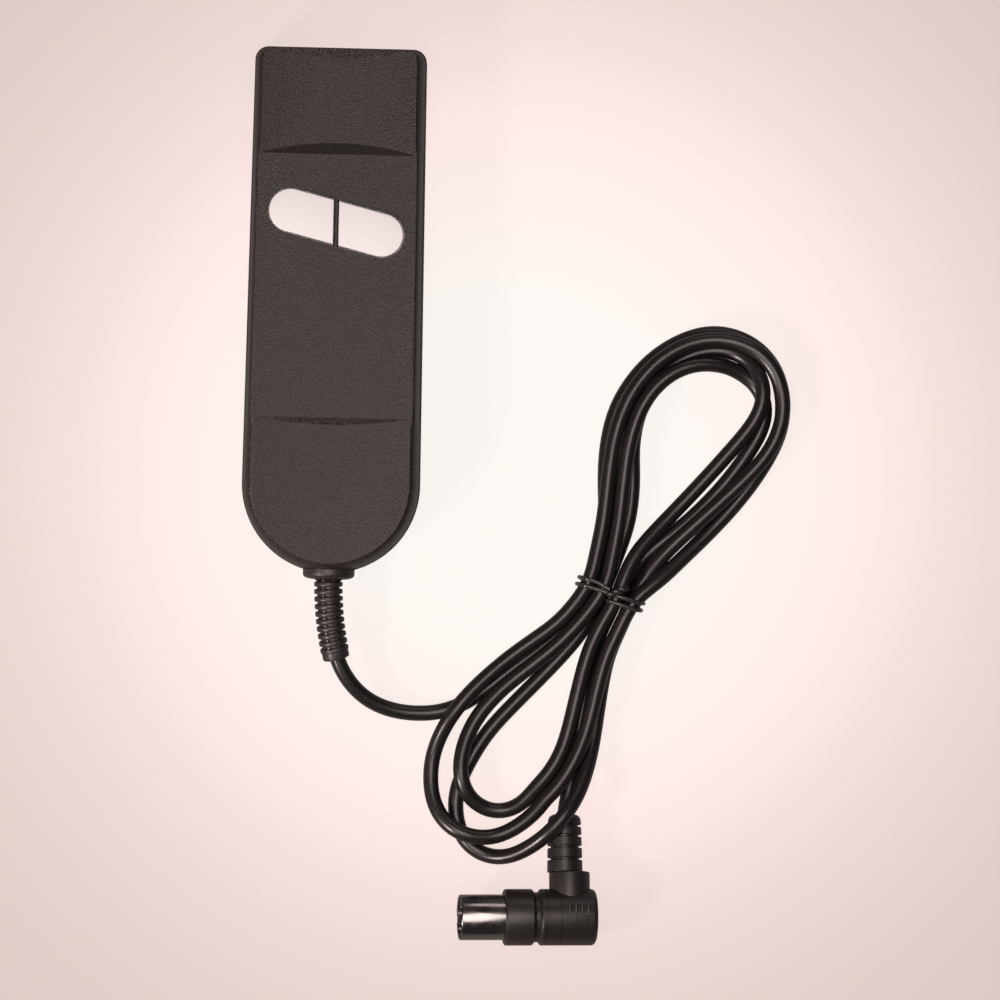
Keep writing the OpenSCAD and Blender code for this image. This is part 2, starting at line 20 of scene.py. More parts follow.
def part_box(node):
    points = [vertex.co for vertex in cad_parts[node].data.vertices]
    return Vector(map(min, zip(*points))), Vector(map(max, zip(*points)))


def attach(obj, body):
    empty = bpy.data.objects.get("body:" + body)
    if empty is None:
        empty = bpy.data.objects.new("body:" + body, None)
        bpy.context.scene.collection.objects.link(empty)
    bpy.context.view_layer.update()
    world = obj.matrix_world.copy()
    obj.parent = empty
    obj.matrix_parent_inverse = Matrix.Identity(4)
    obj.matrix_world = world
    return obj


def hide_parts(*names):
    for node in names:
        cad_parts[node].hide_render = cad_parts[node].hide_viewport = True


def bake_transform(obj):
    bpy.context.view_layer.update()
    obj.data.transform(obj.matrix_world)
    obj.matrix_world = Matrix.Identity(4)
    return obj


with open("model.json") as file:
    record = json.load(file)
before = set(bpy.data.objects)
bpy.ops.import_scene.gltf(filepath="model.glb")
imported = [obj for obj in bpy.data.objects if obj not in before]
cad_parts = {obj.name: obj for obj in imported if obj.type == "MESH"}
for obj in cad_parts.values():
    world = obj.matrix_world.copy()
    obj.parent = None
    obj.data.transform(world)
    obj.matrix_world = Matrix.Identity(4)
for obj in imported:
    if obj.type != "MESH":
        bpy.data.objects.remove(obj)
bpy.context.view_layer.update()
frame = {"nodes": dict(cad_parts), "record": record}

MM = 0.001
log = logging.getLogger("hand_control")
Point = tuple[float, float, float]
Shape = bmesh.types.BMesh


class Side(Enum):
    """Which half of the pair of buttons."""

    LEFT = -1
    RIGHT = 1


class Join(Enum):
    """How one closed shape meets another."""

    ADD = "UNION"
    CUT = "DIFFERENCE"
    KEEP = "INTERSECT"


class Body(Enum):
    """The bodies that pieces ride on."""

    HANDSET = "handset"
    LEFT_BUTTON = "left_button"
    RIGHT_BUTTON = "right_button"


def node_box(name: str) -> tuple[Vector, Vector]:
    """Box of a CAD node in millimetres.

    Args:
        name: The node's name.
    Returns:
        Its lowest and highest corners.
    """
    low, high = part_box(name)
    return low / MM, high / MM


# ---------------------------------------------------------------------------- finishes


class Dressing:
    """Node tree of one material, with Object coordinates as its pattern space."""

    def __init__(self, name: str) -> None:
        """Starts a material with a Principled shader.

        Args:
            name: The material's name.
        """
        self.material = bpy.data.materials.new(name)
        self.material.use_nodes = True
        self.tree = self.material.node_tree
        self.shader = self.tree.nodes["Principled BSDF"]
        self.place = self.tree.nodes.new("ShaderNodeTexCoord")

    def set(self, **values: object) -> None:
        """Sets constant values on the shader's own sockets, by name with _ for a space."""
        for name, value in values.items():
            self.shader.inputs[name.replace("_", " ")].default_value = value

    def noise(self, scale: float, detail: float = 2.0,
              stretch: Point = (1, 1, 1)) -> bpy.types.Node:
        """Adds a noise pattern.

        Args:
            scale: Features per metre.
            detail: How many finer layers the noise has.
            stretch: Scale of the pattern along each axis.
        Returns:
            The noise node.
        """
        mapping = self.tree.nodes.new("ShaderNodeMapping")
        mapping.inputs["Scale"].default_value = stretch
        self.tree.links.new(self.place.outputs["Object"], mapping.inputs["Vector"])
        noise = self.tree.nodes.new("ShaderNodeTexNoise")
        noise.inputs["Scale"].default_value = scale
        noise.inputs["Detail"].default_value = detail
        self.tree.links.new(mapping.outputs["Vector"], noise.inputs["Vector"])
        return noise

    def between(self, pattern: bpy.types.Node, low: float, high: float,
                first: float = 0.35, last: float = 0.65) -> bpy.types.NodeSocket:
        """Maps a pattern onto a range of values.

        Args:
            pattern: The noise node.
            low: Value where the pattern is low.
            high: Value where the pattern is high.
            first: Pattern value that gives low.
            last: Pattern value that gives high.
        Returns:
            The socket that holds the value.
        """
        spread = self.tree.nodes.new("ShaderNodeMapRange")
        spread.inputs["From Min"].default_value = first
        spread.inputs["From Max"].default_value = last
        spread.inputs["To Min"].default_value = low
        spread.inputs["To Max"].default_value = high
        self.tree.links.new(pattern.outputs["Fac"], spread.inputs["Value"])
        return spread.outputs["Result"]

    def tint(self, pattern: bpy.types.Node, dark: Point, light: Point) -> None:
        """Varies the base colour between two colours with a pattern."""
        ramp = self.tree.nodes.new("ShaderNodeValToRGB")
        ramp.color_ramp.elements[0].position = 0.36
        ramp.color_ramp.elements[1].position = 0.64
        ramp.color_ramp.elements[0].color = (*dark, 1)
        ramp.color_ramp.elements[1].color = (*light, 1)
        self.tree.links.new(pattern.outputs["Fac"], ramp.inputs["Fac"])
        self.tree.links.new(ramp.outputs["Color"], self.shader.inputs["Base Color"])

    def roughen(self, value: bpy.types.NodeSocket) -> None:
        """Drives the roughness with a value that varies over the surface."""
        self.tree.links.new(value, self.shader.inputs["Roughness"])

    def bump(self, layers: Iterable[tuple[bpy.types.Node, float, float]]) -> None:
        """Adds relief from one or more patterns.

        Args:
            layers: For each pattern, its node, its strength and its height in metres.
        """
        normal = None
        for pattern, strength, height in layers:
            bump = self.tree.nodes.new("ShaderNodeBump")
            bump.inputs["Strength"].default_value = strength
            bump.inputs["Distance"].default_value = height
            self.tree.links.new(pattern.outputs["Fac"], bump.inputs["Height"])
            if normal is not None:
                self.tree.links.new(normal, bump.inputs["Normal"])
            normal = bump.outputs["Normal"]
        self.tree.links.new(normal, self.shader.inputs["Normal"])


@dataclass(frozen=True)
class Moulded:
    """A moulded plastic or rubber with a fine grain.

    The grain is in features per metre, the relief in metres.
    """

    name: str
    colour: Point
    roughness: float = 0.5
    spread: float = 0.15
    vary: float = 0.12
    grain: float = 3000.0
    relief: float = 0.00002
    strength: float = 0.3
    specular: float = 0.5
    coat: float = 0.0
    wave: float = 180.0
    wave_strength: float = 0.05

    def build(self) -> bpy.types.Material:
        """Makes the material.

        Returns:
            The finished material.
        """
        dressing = Dressing(self.name)
        dressing.set(Metallic=0.0, Specular_IOR_Level=self.specular, Coat_Weight=self.coat,
                     Coat_Roughness=0.2)
        grain = dressing.noise(self.grain, 3.0)
        wave = dressing.noise(self.wave, 2.0)
        dark = tuple(c * (1 - self.vary) for c in self.colour)
        light = tuple(c * (1 + self.vary) for c in self.colour)
        dressing.tint(grain, dark, light)
        dressing.roughen(dressing.between(grain, self.roughness - self.spread / 2,
                                          self.roughness + self.spread / 2))
        dressing.bump([(wave, self.wave_strength, 0.0002), (grain, self.strength, self.relief)])
        return dressing.material


@dataclass(frozen=True)
class Metal:
    """A bright or drawn metal with faint marks along one axis."""

    name: str
    colour: Point
    roughness: float = 0.25
    marks: Point = (40, 1200, 1200)
    strength: float = 0.08

    def build(self) -> bpy.types.Material:
        """Makes the material.

        Returns:
            The finished material.
        """
        dressing = Dressing(self.name)
        dressing.set(Metallic=1.0)
        marks = dressing.noise(1.0, 2.0, self.marks)
        cloud = dressing.noise(260.0, 3.0)
        dressing.tint(cloud, tuple(c * 0.92 for c in self.colour), self.colour)
        dressing.roughen(dressing.between(cloud, self.roughness * 0.7, self.roughness * 1.3))
        dressing.bump([(marks, self.strength, 0.00001)])
        return dressing.material


FINISHES: dict[str, Moulded | Metal] = {
    "case_plastic": Moulded("case_plastic", (0.0165, 0.0118, 0.0112), 0.42, 0.22, 0.8, 2100.0,
                            0.0002, 1.0, specular=0.4, wave=60.0, wave_strength=0.02),
    "button_plastic": Moulded("button_plastic", (0.70, 0.69, 0.69), 0.34, 0.08, 0.012, 900.0,
                              0.00001, 0.06),
    "relief_rubber": Moulded("relief_rubber", (0.022, 0.018, 0.017), 0.42, 0.12, 0.2, 2200.0,
                             0.00003, 0.35),
    "cord_jacket": Moulded("cord_jacket", (0.010, 0.008, 0.0075), 0.32, 0.06, 0.15, 1500.0,
                           0.00002, 0.18, wave=240.0, wave_strength=0.12),
    "tie_plastic": Moulded("tie_plastic", (0.030, 0.026, 0.026), 0.16, 0.04, 0.15, 1800.0,
                           0.00001, 0.1),
    "plug_plastic": Moulded("plug_plastic", (0.014, 0.011, 0.010), 0.40, 0.10, 0.2, 2400.0,
                            0.00003, 0.3),
    "insert_plastic": Moulded("insert_plastic", (0.012, 0.012, 0.012), 0.5, 0.1, 0.2),
    "switch_plastic": Moulded("switch_plastic", (0.012, 0.012, 0.013), 0.5),
    "plunger_plastic": Moulded("plunger_plastic", (0.42, 0.03, 0.02), 0.4),
    "clamp_plastic": Moulded("clamp_plastic", (0.03, 0.03, 0.03), 0.5),
    "header_plastic": Moulded("header_plastic", (0.80, 0.74, 0.60), 0.42, coat=0.1),
    "board_laminate": Moulded("board_laminate", (0.02, 0.12, 0.05), 0.35, 0.1, 0.25, 1400.0,
                              0.00002, 0.25),
    "wire_red": Moulded("wire_red", (0.55, 0.02, 0.02), 0.3),
    "wire_black": Moulded("wire_black", (0.015, 0.015, 0.015), 0.3),
    "wire_white": Moulded("wire_white", (0.80, 0.80, 0.78), 0.3),
    "screw_steel": Metal("screw_steel", (0.56, 0.56, 0.58), 0.32, (900, 900, 60)),
    "spring_steel": Metal("spring_steel", (0.60, 0.60, 0.62), 0.22),
    "contact_metal": Metal("contact_metal", (0.74, 0.70, 0.58), 0.24),
    "solder": Metal("solder", (0.70, 0.70, 0.72), 0.3, (400, 400, 400)),
    "shield_metal": Metal("shield_metal", (0.24, 0.228, 0.224), 0.2, (30, 900, 900), 0.12),
}


@dataclass
class Wardrobe:
    """The materials, each made once."""

    made: dict[str, bpy.types.Material] = field(default_factory=dict)

    def get(self, slot: str) -> bpy.types.Material:
        """Material of a slot, made when it is first asked for."""
        if slot not in self.made:
            self.made[slot] = FINISHES[slot].build()
        return self.made[slot]


WARDROBE = Wardrobe()


# ------------------------------------------------------------------------ closed shapes


def holder(shape: Shape, name: str = "scratch") -> bpy.types.Object:
    """Puts a shape into a new object and frees the shape.

    Args:
        shape: The shape.
        name: Name of the object.
    Returns:
        The new object.
    """
    mesh = bpy.data.meshes.new(name)
    shape.to_mesh(mesh)
    shape.free()
    made = bpy.data.objects.new(name, mesh)
    bpy.context.scene.collection.objects.link(made)
    return made


def merged(*shapes: Shape) -> Shape:
    """Gathers shapes that don't touch into one.

    Args:
        shapes: The shapes, which are freed.
    Returns:
        The shape that holds them all.
    """
    whole = bmesh.new()
    for shape in shapes:
        mesh = bpy.data.meshes.new("gathered")
        shape.to_mesh(mesh)
        shape.free()
        whole.from_mesh(mesh)
        bpy.data.meshes.remove(mesh)
    return whole


def pointed_out(shape: Shape) -> Shape:
    """Merges doubles, turns every face outwards and hands the shape back."""
    bmesh.ops.remove_doubles(shape, verts=shape.verts[:], dist=1e-4)
    bmesh.ops.recalc_face_normals(shape, faces=shape.faces[:])
    return shape


def sliced(shape: Shape, point: Point, normal: Point) -> Shape:
    """Cuts away what lies beyond a plane and closes the cut.

    Args:
        shape: A closed shape.
        point: A point on the plane.
        normal: The direction of what is cut away.
    Returns:
        The same shape.
    """
    everything = shape.verts[:] + shape.edges[:] + shape.faces[:]
    cut = bmesh.ops.bisect_plane(shape, geom=everything, dist=1e-5, plane_co=point,
                                 plane_no=normal, clear_outer=True, clear_inner=False)
    rim = [g for g in cut["geom_cut"] if isinstance(g, bmesh.types.BMEdge)]
    bmesh.ops.holes_fill(shape, edges=rim, sides=0)
    return pointed_out(shape)


def extruded(shape: Shape, offset: Point) -> Shape:
    """Gives a shape's single face a thickness.

    Args:
        shape: A shape of one face.
        offset: Where the far face goes.
    Returns:
        The same shape, closed.
    """
    made = bmesh.ops.extrude_face_region(shape, geom=shape.faces[:])
    verts = [g for g in made["geom"] if isinstance(g, bmesh.types.BMVert)]
    bmesh.ops.translate(shape, verts=verts, vec=offset)
    return pointed_out(shape)


def block(low: Point, high: Point) -> Shape:
    """A box between two corners."""
    shape = bmesh.new()
    bmesh.ops.create_cube(shape, size=1.0)
    size = Vector(high) - Vector(low)
    bmesh.ops.scale(shape, verts=shape.verts[:], vec=size)
    bmesh.ops.translate(shape, verts=shape.verts[:], vec=(Vector(high) + Vector(low)) / 2)
    return shape


def rod(start: Point, end: Point, radius: float, end_radius: float | None = None,
        segments: int = 48) -> Shape:
    """A round bar or cone between two points.

    Args:
        start: Centre of one end.
        end: Centre of the other end.
        radius: Radius at the start.
        end_radius: Radius at the end, the same if it isn't given.
        segments: Number of sides.
    Returns:
        The closed shape.
    """
    axis = Vector(end) - Vector(start)
    shape = bmesh.new()
    bmesh.ops.create_cone(shape, cap_ends=True, segments=segments, radius1=radius,
                          radius2=radius if end_radius is None else end_radius,
                          depth=axis.length)
    turn = Vector((0, 0, 1)).rotation_difference(axis).to_matrix().to_4x4()
    middle = (Vector(start) + Vector(end)) / 2
    bmesh.ops.transform(shape, matrix=Matrix.Translation(middle) @ turn, verts=shape.verts[:])
    return shape


def turned(profile: list[tuple[float, float]], segments: int = 96, ring: bool = False) -> Shape:
    """Spins a profile about the X axis.

    Args:
        profile: Places along the axis, each with its radius.
        segments: Number of steps in the turn.
        ring: Whether the profile is a closed loop that doesn't touch the axis.
    Returns:
        The closed shape.
    """
    shape = bmesh.new()
    line = [shape.verts.new((x, 0, r)) for x, r in profile]
    pairs = list(zip(line, line[1:])) + ([(line[-1], line[0])] if ring else [])
    edges = [shape.edges.new(pair) for pair in pairs]
    bmesh.ops.spin(shape, geom=line + edges, cent=(0, 0, 0), axis=(1, 0, 0), dvec=(0, 0, 0),
                   angle=2 * math.pi, steps=segments, use_merge=True, use_duplicate=False)
    return pointed_out(shape)


def rounded(shape: Shape, width: float, steps: int,
            chosen: Callable[[Vector, float], bool]) -> Shape:
    """Rounds the sharp edges that a test picks.

    Args:
        shape: A closed shape.
        width: Width of the rounding.
        steps: Number of faces across it.
        chosen: Takes an edge's middle and its fold in degrees, and says whether to round it.
    Returns:
        The same shape.
    """
    edges = [e for e in shape.edges if len(e.link_faces) == 2
             and chosen((e.verts[0].co + e.verts[1].co) / 2, math.degrees(e.calc_face_angle(0)))]
    bmesh.ops.bevel(shape, geom=edges, offset=width, offset_type="OFFSET", segments=steps,
                    profile=0.5, affect="EDGES", clamp_overlap=True, material=-1)
    return shape


class Solid:
    """A closed shape in millimetres that other closed shapes are joined to."""

    def __init__(self, shape: Shape) -> None:
        """Starts from one closed shape."""
        self.object = holder(shape)

    def join(self, shape: Shape, how: Join) -> "Solid":
        """Adds, cuts or keeps by another closed shape.

        Args:
            shape: The other shape, which is freed.
            how: What is done with it.
        Returns:
            This solid.
        """
        tool = holder(shape, "tool")
        boolean = self.object.modifiers.new("join", "BOOLEAN")
        boolean.operation = how.value
        boolean.solver = "EXACT"
        boolean.object = tool
        graph = bpy.context.evaluated_depsgraph_get()
        made = bpy.data.meshes.new_from_object(self.object.evaluated_get(graph))
        self.object.modifiers.clear()
        self.object.data = made
        bpy.data.objects.remove(tool)
        return self

    def shape(self) -> Shape:
        """Hands the shape over, and removes the scratch object."""
        whole = bmesh.new()
        whole.from_mesh(self.object.data)
        bpy.data.objects.remove(self.object)
        return whole


def finished(shape: Shape, name: str, slot: str, body: Body, nodes: tuple[str, ...],
             fold: float = 32.0) -> bpy.types.Object:
    """Turns a shape into a piece in metres that rides on a body.

    Args:
        shape: The closed shape in millimetres, which is freed.
        name: Name of the piece.
        slot: The material slot that it takes its finish from.
        body: The body that it moves with.
        nodes: The CAD nodes that it stands for.
        fold: Edges that fold by more than these degrees stay sharp.
    Returns:
        The piece.
    """
    bmesh.ops.scale(shape, verts=shape.verts[:], vec=(MM, MM, MM))
    for face in shape.faces:
        face.smooth = len(face.verts) < 5
    piece = holder(shape, name)
    piece.data.set_sharp_from_angle(angle=math.radians(fold))
    piece.data.materials.append(WARDROBE.get(slot))
    return enlisted(piece, body, nodes)


def enlisted(piece: bpy.types.Object, body: Body,
             nodes: tuple[str, ...]) -> bpy.types.Object:
    """Tells the frame about a piece.

    Args:
        piece: The piece, in place.
        body: The body that it moves with.
        nodes: The CAD nodes that it stands for.
    Returns:
        The piece.
    """
    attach(piece, body.value)
    if nodes:
        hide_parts(*nodes)
    log.info("%s rides on %s", piece.name, body.value)
    return piece


# --------------------------------------------------------------------------------- case


@dataclass(frozen=True)
class Level:
    """One level of the case: its height, and how far each side is moved in there."""

    height: float
    low: float
    middle: float
    high: float
    square: float
    round_end: float

    @classmethod
    def even(cls, height: float, inset: float) -> "Level":
        """A level that is moved in by the same distance all round."""
        return cls(height, inset, inset, inset, inset, inset)


@dataclass
class Case:
    """The two covers, built from one outline that is lofted upwards."""

    arc_steps: int = 64
    top_half: float = 24.8
    corner: float = 3.8
    wall: float = 2.0
    foot: float = 1.4
    side_draft: float = 2.0
    side_roll: float = 2.7
    flat_room: float = 20.7
    end_roll: float = 4.6
    blend: float = 3.0
    square_lean: float = 0.4
    seam_step: float = 0.35
    seam_gap: float = 0.2
    levels: int = 22
    top_hollow: float = 1.9
    low_hollow: float = 1.1
    hollow_width: float = 45.0
    hollow_slope: float = 1.75
    flat_top: float = 44.7
    flat_low: float = -31.2
    lip_radius: float = 7.7
    neck_radius: float = 4.3
    flange_radius: float = 6.1
    exit_half: float = 9.5
    cord_groove: float = 2.26
    post_radius: float = 3.5
    post_rows: tuple[tuple[float, float], ...] = ((63.1, 18.4), (-46.3, 17.2))
    head_radius: float = 3.1
    screw_radius: float = 1.65
    pilot_radius: float = 1.27
    board_post_radius: float = 3.2
    board_post_top: float = 10.29
    board_posts: tuple[float, ...] = (2.0, 44.0)
    saddle: tuple[Point, Point] = ((-8.5, -63.6, 1), (8.5, -58.6, 11.2))

    def __post_init__(self) -> None:
        """Takes the main sizes from the frame."""
        low, high = node_box("back_cover")
        self.half_width = high.x
        self.square_y = high.y
        self.round_y = low.y
        self.end_y = low.y + self.half_width
        self.seam_z = high.z + self.seam_gap / 2
        self.face_z = node_box("front_cover")[1].z
        self.ceiling = self.face_z - self.top_hollow - self.wall
        self.ceiling_flat = self.face_z - self.wall - 0.2
        self.posts = [(x, y) for y, half in self.post_rows for x in (half, -half)]

    def outline(self) -> Shape:
        """Plan of the case as one face on the ground."""
        shape = bmesh.new()
        start = shape.verts.new((self.half_width, self.end_y, 0))
        swept = bmesh.ops.spin(shape, geom=[start], cent=(0, self.end_y, 0), axis=(0, 0, 1),
                               dvec=(0, 0, 0), angle=-math.pi, steps=self.arc_steps,
                               use_merge=False, use_duplicate=False)
        last = next(g for g in swept["geom_last"] if isinstance(g, bmesh.types.BMVert))
        right = shape.verts.new((self.top_half, self.square_y, 0))
        left = shape.verts.new((-self.top_half, self.square_y, 0))
        places = (self.flat_low - self.blend, self.flat_low, self.flat_top,
                  self.flat_top + self.blend)
        taper = (self.half_width - self.top_half) / (self.square_y - self.end_y)
        side = [(self.half_width - taper * (y - self.end_y), y) for y in places]
        line = [start, *[shape.verts.new((x, y, 0)) for x, y in side], right, left,
                *[shape.verts.new((-x, y, 0)) for x, y in reversed(side)], last]
        for pair in zip(line, line[1:]):
            shape.edges.new(pair)
        bmesh.ops.contextual_create(shape, geom=shape.edges[:])
        bmesh.ops.bevel(shape, geom=[right, left], offset=self.corner, offset_type="OFFSET",
                        segments=10, profile=0.5, affect="VERTICES", material=-1)
        return shape

    def lofted(self, levels: list[Level]) -> Shape:
        """Closed form with the case's plan.

        Args:
            levels: Its levels from the bottom up.
        Returns:
            The closed shape.
        """
        shape = self.outline()
        verts, face = shape.verts[:], shape.faces[:][0]
        plan = [vert.co.copy() for vert in verts]
        for k, level in enumerate(levels):
            if k:
                made = bmesh.ops.extrude_face_region(shape, geom=[face])["geom"]
                if k > 1:
                    bmesh.ops.delete(shape, geom=[face], context="FACES_ONLY")
                fresh = {self.key(g.co): g for g in made if isinstance(g, bmesh.types.BMVert)}
                verts = [fresh[self.key(vert.co)] for vert in verts]
                face = next(g for g in made if isinstance(g, bmesh.types.BMFace))
            for vert, start in zip(verts, plan):
                vert.co = self.moved_in(start, level)
        return pointed_out(shape)

    @staticmethod
    def key(place: Vector) -> tuple[float, ...]:
        """Rounded place, to find a vertex's copy by."""
        return tuple(round(c, 4) for c in place)

    def moved_in(self, start: Vector, level: Level) -> Point:
        """Place of a point of the outline on a level."""
        x, y = start.x, start.y
        if y < self.flat_low - self.blend / 2:
            side = level.low
        elif y > self.flat_top + self.blend / 2:
            side = level.high
        else:
            side = level.middle
        x *= 1 - side / self.half_width
        if y < self.end_y:
            y = self.end_y + (y - self.end_y) * (1 - level.round_end / self.half_width)
        elif y > self.square_y - self.corner - 0.01:
            y -= level.square
        return (x, y, level.height)

    def front_levels(self, inset: float, top_z: float) -> list[Level]:
        """Levels of the front cover.

        Its sides lean, and roll over more beside the hollows. The square end is upright and
        the round end is rolled.

        Args:
            inset: How far the whole form is moved in.
            top_z: Height of its top.
        Returns:
            The levels.
        """
        base = self.seam_step + inset
        levels = []
        for k in range(self.levels + 1):
            rise = math.sin(math.pi / 2 * k / self.levels)
            lean = 0.45 * rise + 0.55 * (1 - math.sqrt(1 - rise ** 5))
            roll = 1 - math.sqrt(1 - rise ** 2.4)
            levels.append(Level(self.seam_z + (top_z - self.seam_z) * rise,
                                low=base + self.side_roll * roll,
                                middle=base + self.side_draft * lean,
                                high=base + self.side_roll * roll,
                                square=base + self.square_lean * rise,
                                round_end=base + self.end_roll * roll))
        return levels

    def trough(self, depth: float, low_y: float, high_y: float, ends: tuple[bool, bool]) -> Shape:
        """Cutter for a thumb hollow, round across the case and with sloping ends.

        Args:
            depth: Depth in the middle.
            low_y: Where it starts.
            high_y: Where it ends.
            ends: Whether the low and the high end slope; the other runs out of the case.
        Returns:
            The closed shape.
        """
        radius = (self.hollow_width ** 2 / 4 + depth ** 2) / (2 * depth)
        half = math.asin((self.hollow_width / 2 + 1.5) / radius)
        centre_z = self.face_z - depth + radius
        shape = bmesh.new()
        start = shape.verts.new((-radius * math.sin(half), low_y - 1,
                                 centre_z - radius * math.cos(half)))
        swept = bmesh.ops.spin(shape, geom=[start], cent=(0, low_y, centre_z), axis=(0, 1, 0),
                               dvec=(0, 0, 0), angle=-2 * half, steps=48, use_merge=False,
                               use_duplicate=False)
        last = next(g for g in swept["geom_last"] if isinstance(g, bmesh.types.BMVert))
        over = [shape.verts.new(v.co + Vector((0, 0, 4))) for v in (last, start)]
        for pair in ((last, over[0]), (over[0], over[1]), (over[1], start)):
            shape.edges.new(pair)
        bmesh.ops.contextual_create(shape, geom=shape.edges[:])
        extruded(shape, (0, high_y - low_y + 2, 0))
        if ends[0]:
            sliced(shape, (0, low_y, self.face_z), (0, -1, -self.hollow_slope))
        if ends[1]:
            sliced(shape, (0, high_y, self.face_z), (0, 1, -self.hollow_slope))
        return shape

    def exit_way(self) -> Shape:
        """Cutter for the pocket, web and flange that hold the strain relief."""
        outer = self.round_y
        places = [(outer - 3, outer + 1.4, self.lip_radius),
                  (outer + 1.3, outer + 3.1, self.neck_radius),
                  (outer + 3.0, outer + 11, self.flange_radius)]
        way = None
        for start, end, radius in places:
            part = rod((0, start, self.seam_z), (0, end, self.seam_z), radius, segments=64)
            way = Solid(part) if way is None else way.join(part, Join.ADD)
        return way.shape()

    def exit_wall(self, low_z: float, high_z: float) -> Shape:
        """Wall that the strain relief's neck passes through."""
        return block((-self.exit_half, self.round_y + 0.5, low_z),
                     (self.exit_half, self.round_y + 4.9, high_z))

    def back(self) -> bpy.types.Object:
        """Builds the back cover with its screw recesses."""
        top = self.seam_z - self.seam_gap / 2
        foot = [(self.foot * (1 - math.cos(a)), self.foot * (1 - math.sin(a)))
                for a in (math.radians(d) for d in range(0, 91, 15))]
        outer = [Level.even(z, x) for z, x in foot] + [Level.even(top, 0)]
        inner = [Level.even(self.wall, self.wall), Level.even(top + 3, self.wall)]
        solid = Solid(self.lofted(outer)).join(self.lofted(inner), Join.CUT)
        inside = merged(
            *[rod((x, y, 1), (x, y, top), self.post_radius) for x, y in self.posts],
            *[rod((0, y, 1), (0, y, self.board_post_top), self.board_post_radius)
              for y in self.board_posts],
            block(*self.saddle))
        wall = Solid(self.exit_wall(1, top)).join(self.lofted(
            [Level.even(0.5, 0.6), Level.even(top, 0.6)]), Join.KEEP)
        solid.join(inside, Join.ADD).join(wall.shape(), Join.ADD)
        solid.join(self.exit_way(), Join.CUT)
        for low_z, high_z, radius in ((-1, 6, self.head_radius), (5, 14, self.screw_radius)):
            solid.join(merged(*[rod((x, y, low_z), (x, y, high_z), radius)
                                for x, y in self.posts]), Join.CUT)
        solid.join(rod((0, -67, self.seam_z), (0, -55, self.seam_z), self.cord_groove), Join.CUT)
        shape = rounded(solid.shape(), 0.3, 2, lambda m, fold: fold > 60 and m.z < 0.01)
        return finished(shape, "back_cover_shell", "case_plastic", Body.HANDSET, ("back_cover",))

    def front(self, wells: Shape) -> bpy.types.Object:
        """Builds the front cover with its hollows.

        Args:
            wells: Cutter for the openings that the buttons stand in.
        Returns:
            The piece.
        """
        solid = Solid(self.lofted(self.front_levels(0, self.face_z)))
        solid.join(self.trough(self.top_hollow, self.flat_top, self.square_y - 0.5, (True, True)),
                   Join.CUT)
        solid.join(self.trough(self.low_hollow, self.round_y - 4, self.flat_low, (False, True)),
                   Join.CUT)
        solid.join(self.lofted(self.front_levels(self.wall, self.ceiling)), Join.CUT)
        room = self.flat_room
        solid.join(block((-room, self.flat_low + 2, self.seam_z + 2),
                         (room, self.flat_top - 2, self.ceiling_flat)), Join.CUT)
        posts = merged(*[rod((x, y, self.seam_z + 0.1), (x, y, self.ceiling + 0.5),
                             self.post_radius) for x, y in self.posts])
        wall = Solid(self.exit_wall(self.seam_z, self.face_z)).join(self.lofted(
            self.front_levels(0.6, self.face_z - 2.6)), Join.KEEP)
        solid.join(posts, Join.ADD).join(wall.shape(), Join.ADD)
        solid.join(block((-40, -90, self.seam_z - 2), (40, 90, self.seam_z + self.seam_gap / 2)),
                   Join.CUT)
        solid.join(self.exit_way(), Join.CUT)
        solid.join(merged(*[rod((x, y, self.seam_z - 1), (x, y, self.ceiling - 0.4),
                                self.pilot_radius) for x, y in self.posts]), Join.CUT)
        solid.join(wells, Join.CUT)
        return finished(solid.shape(), "front_cover_shell", "case_plastic", Body.HANDSET,
                        ("front_cover",), 22)


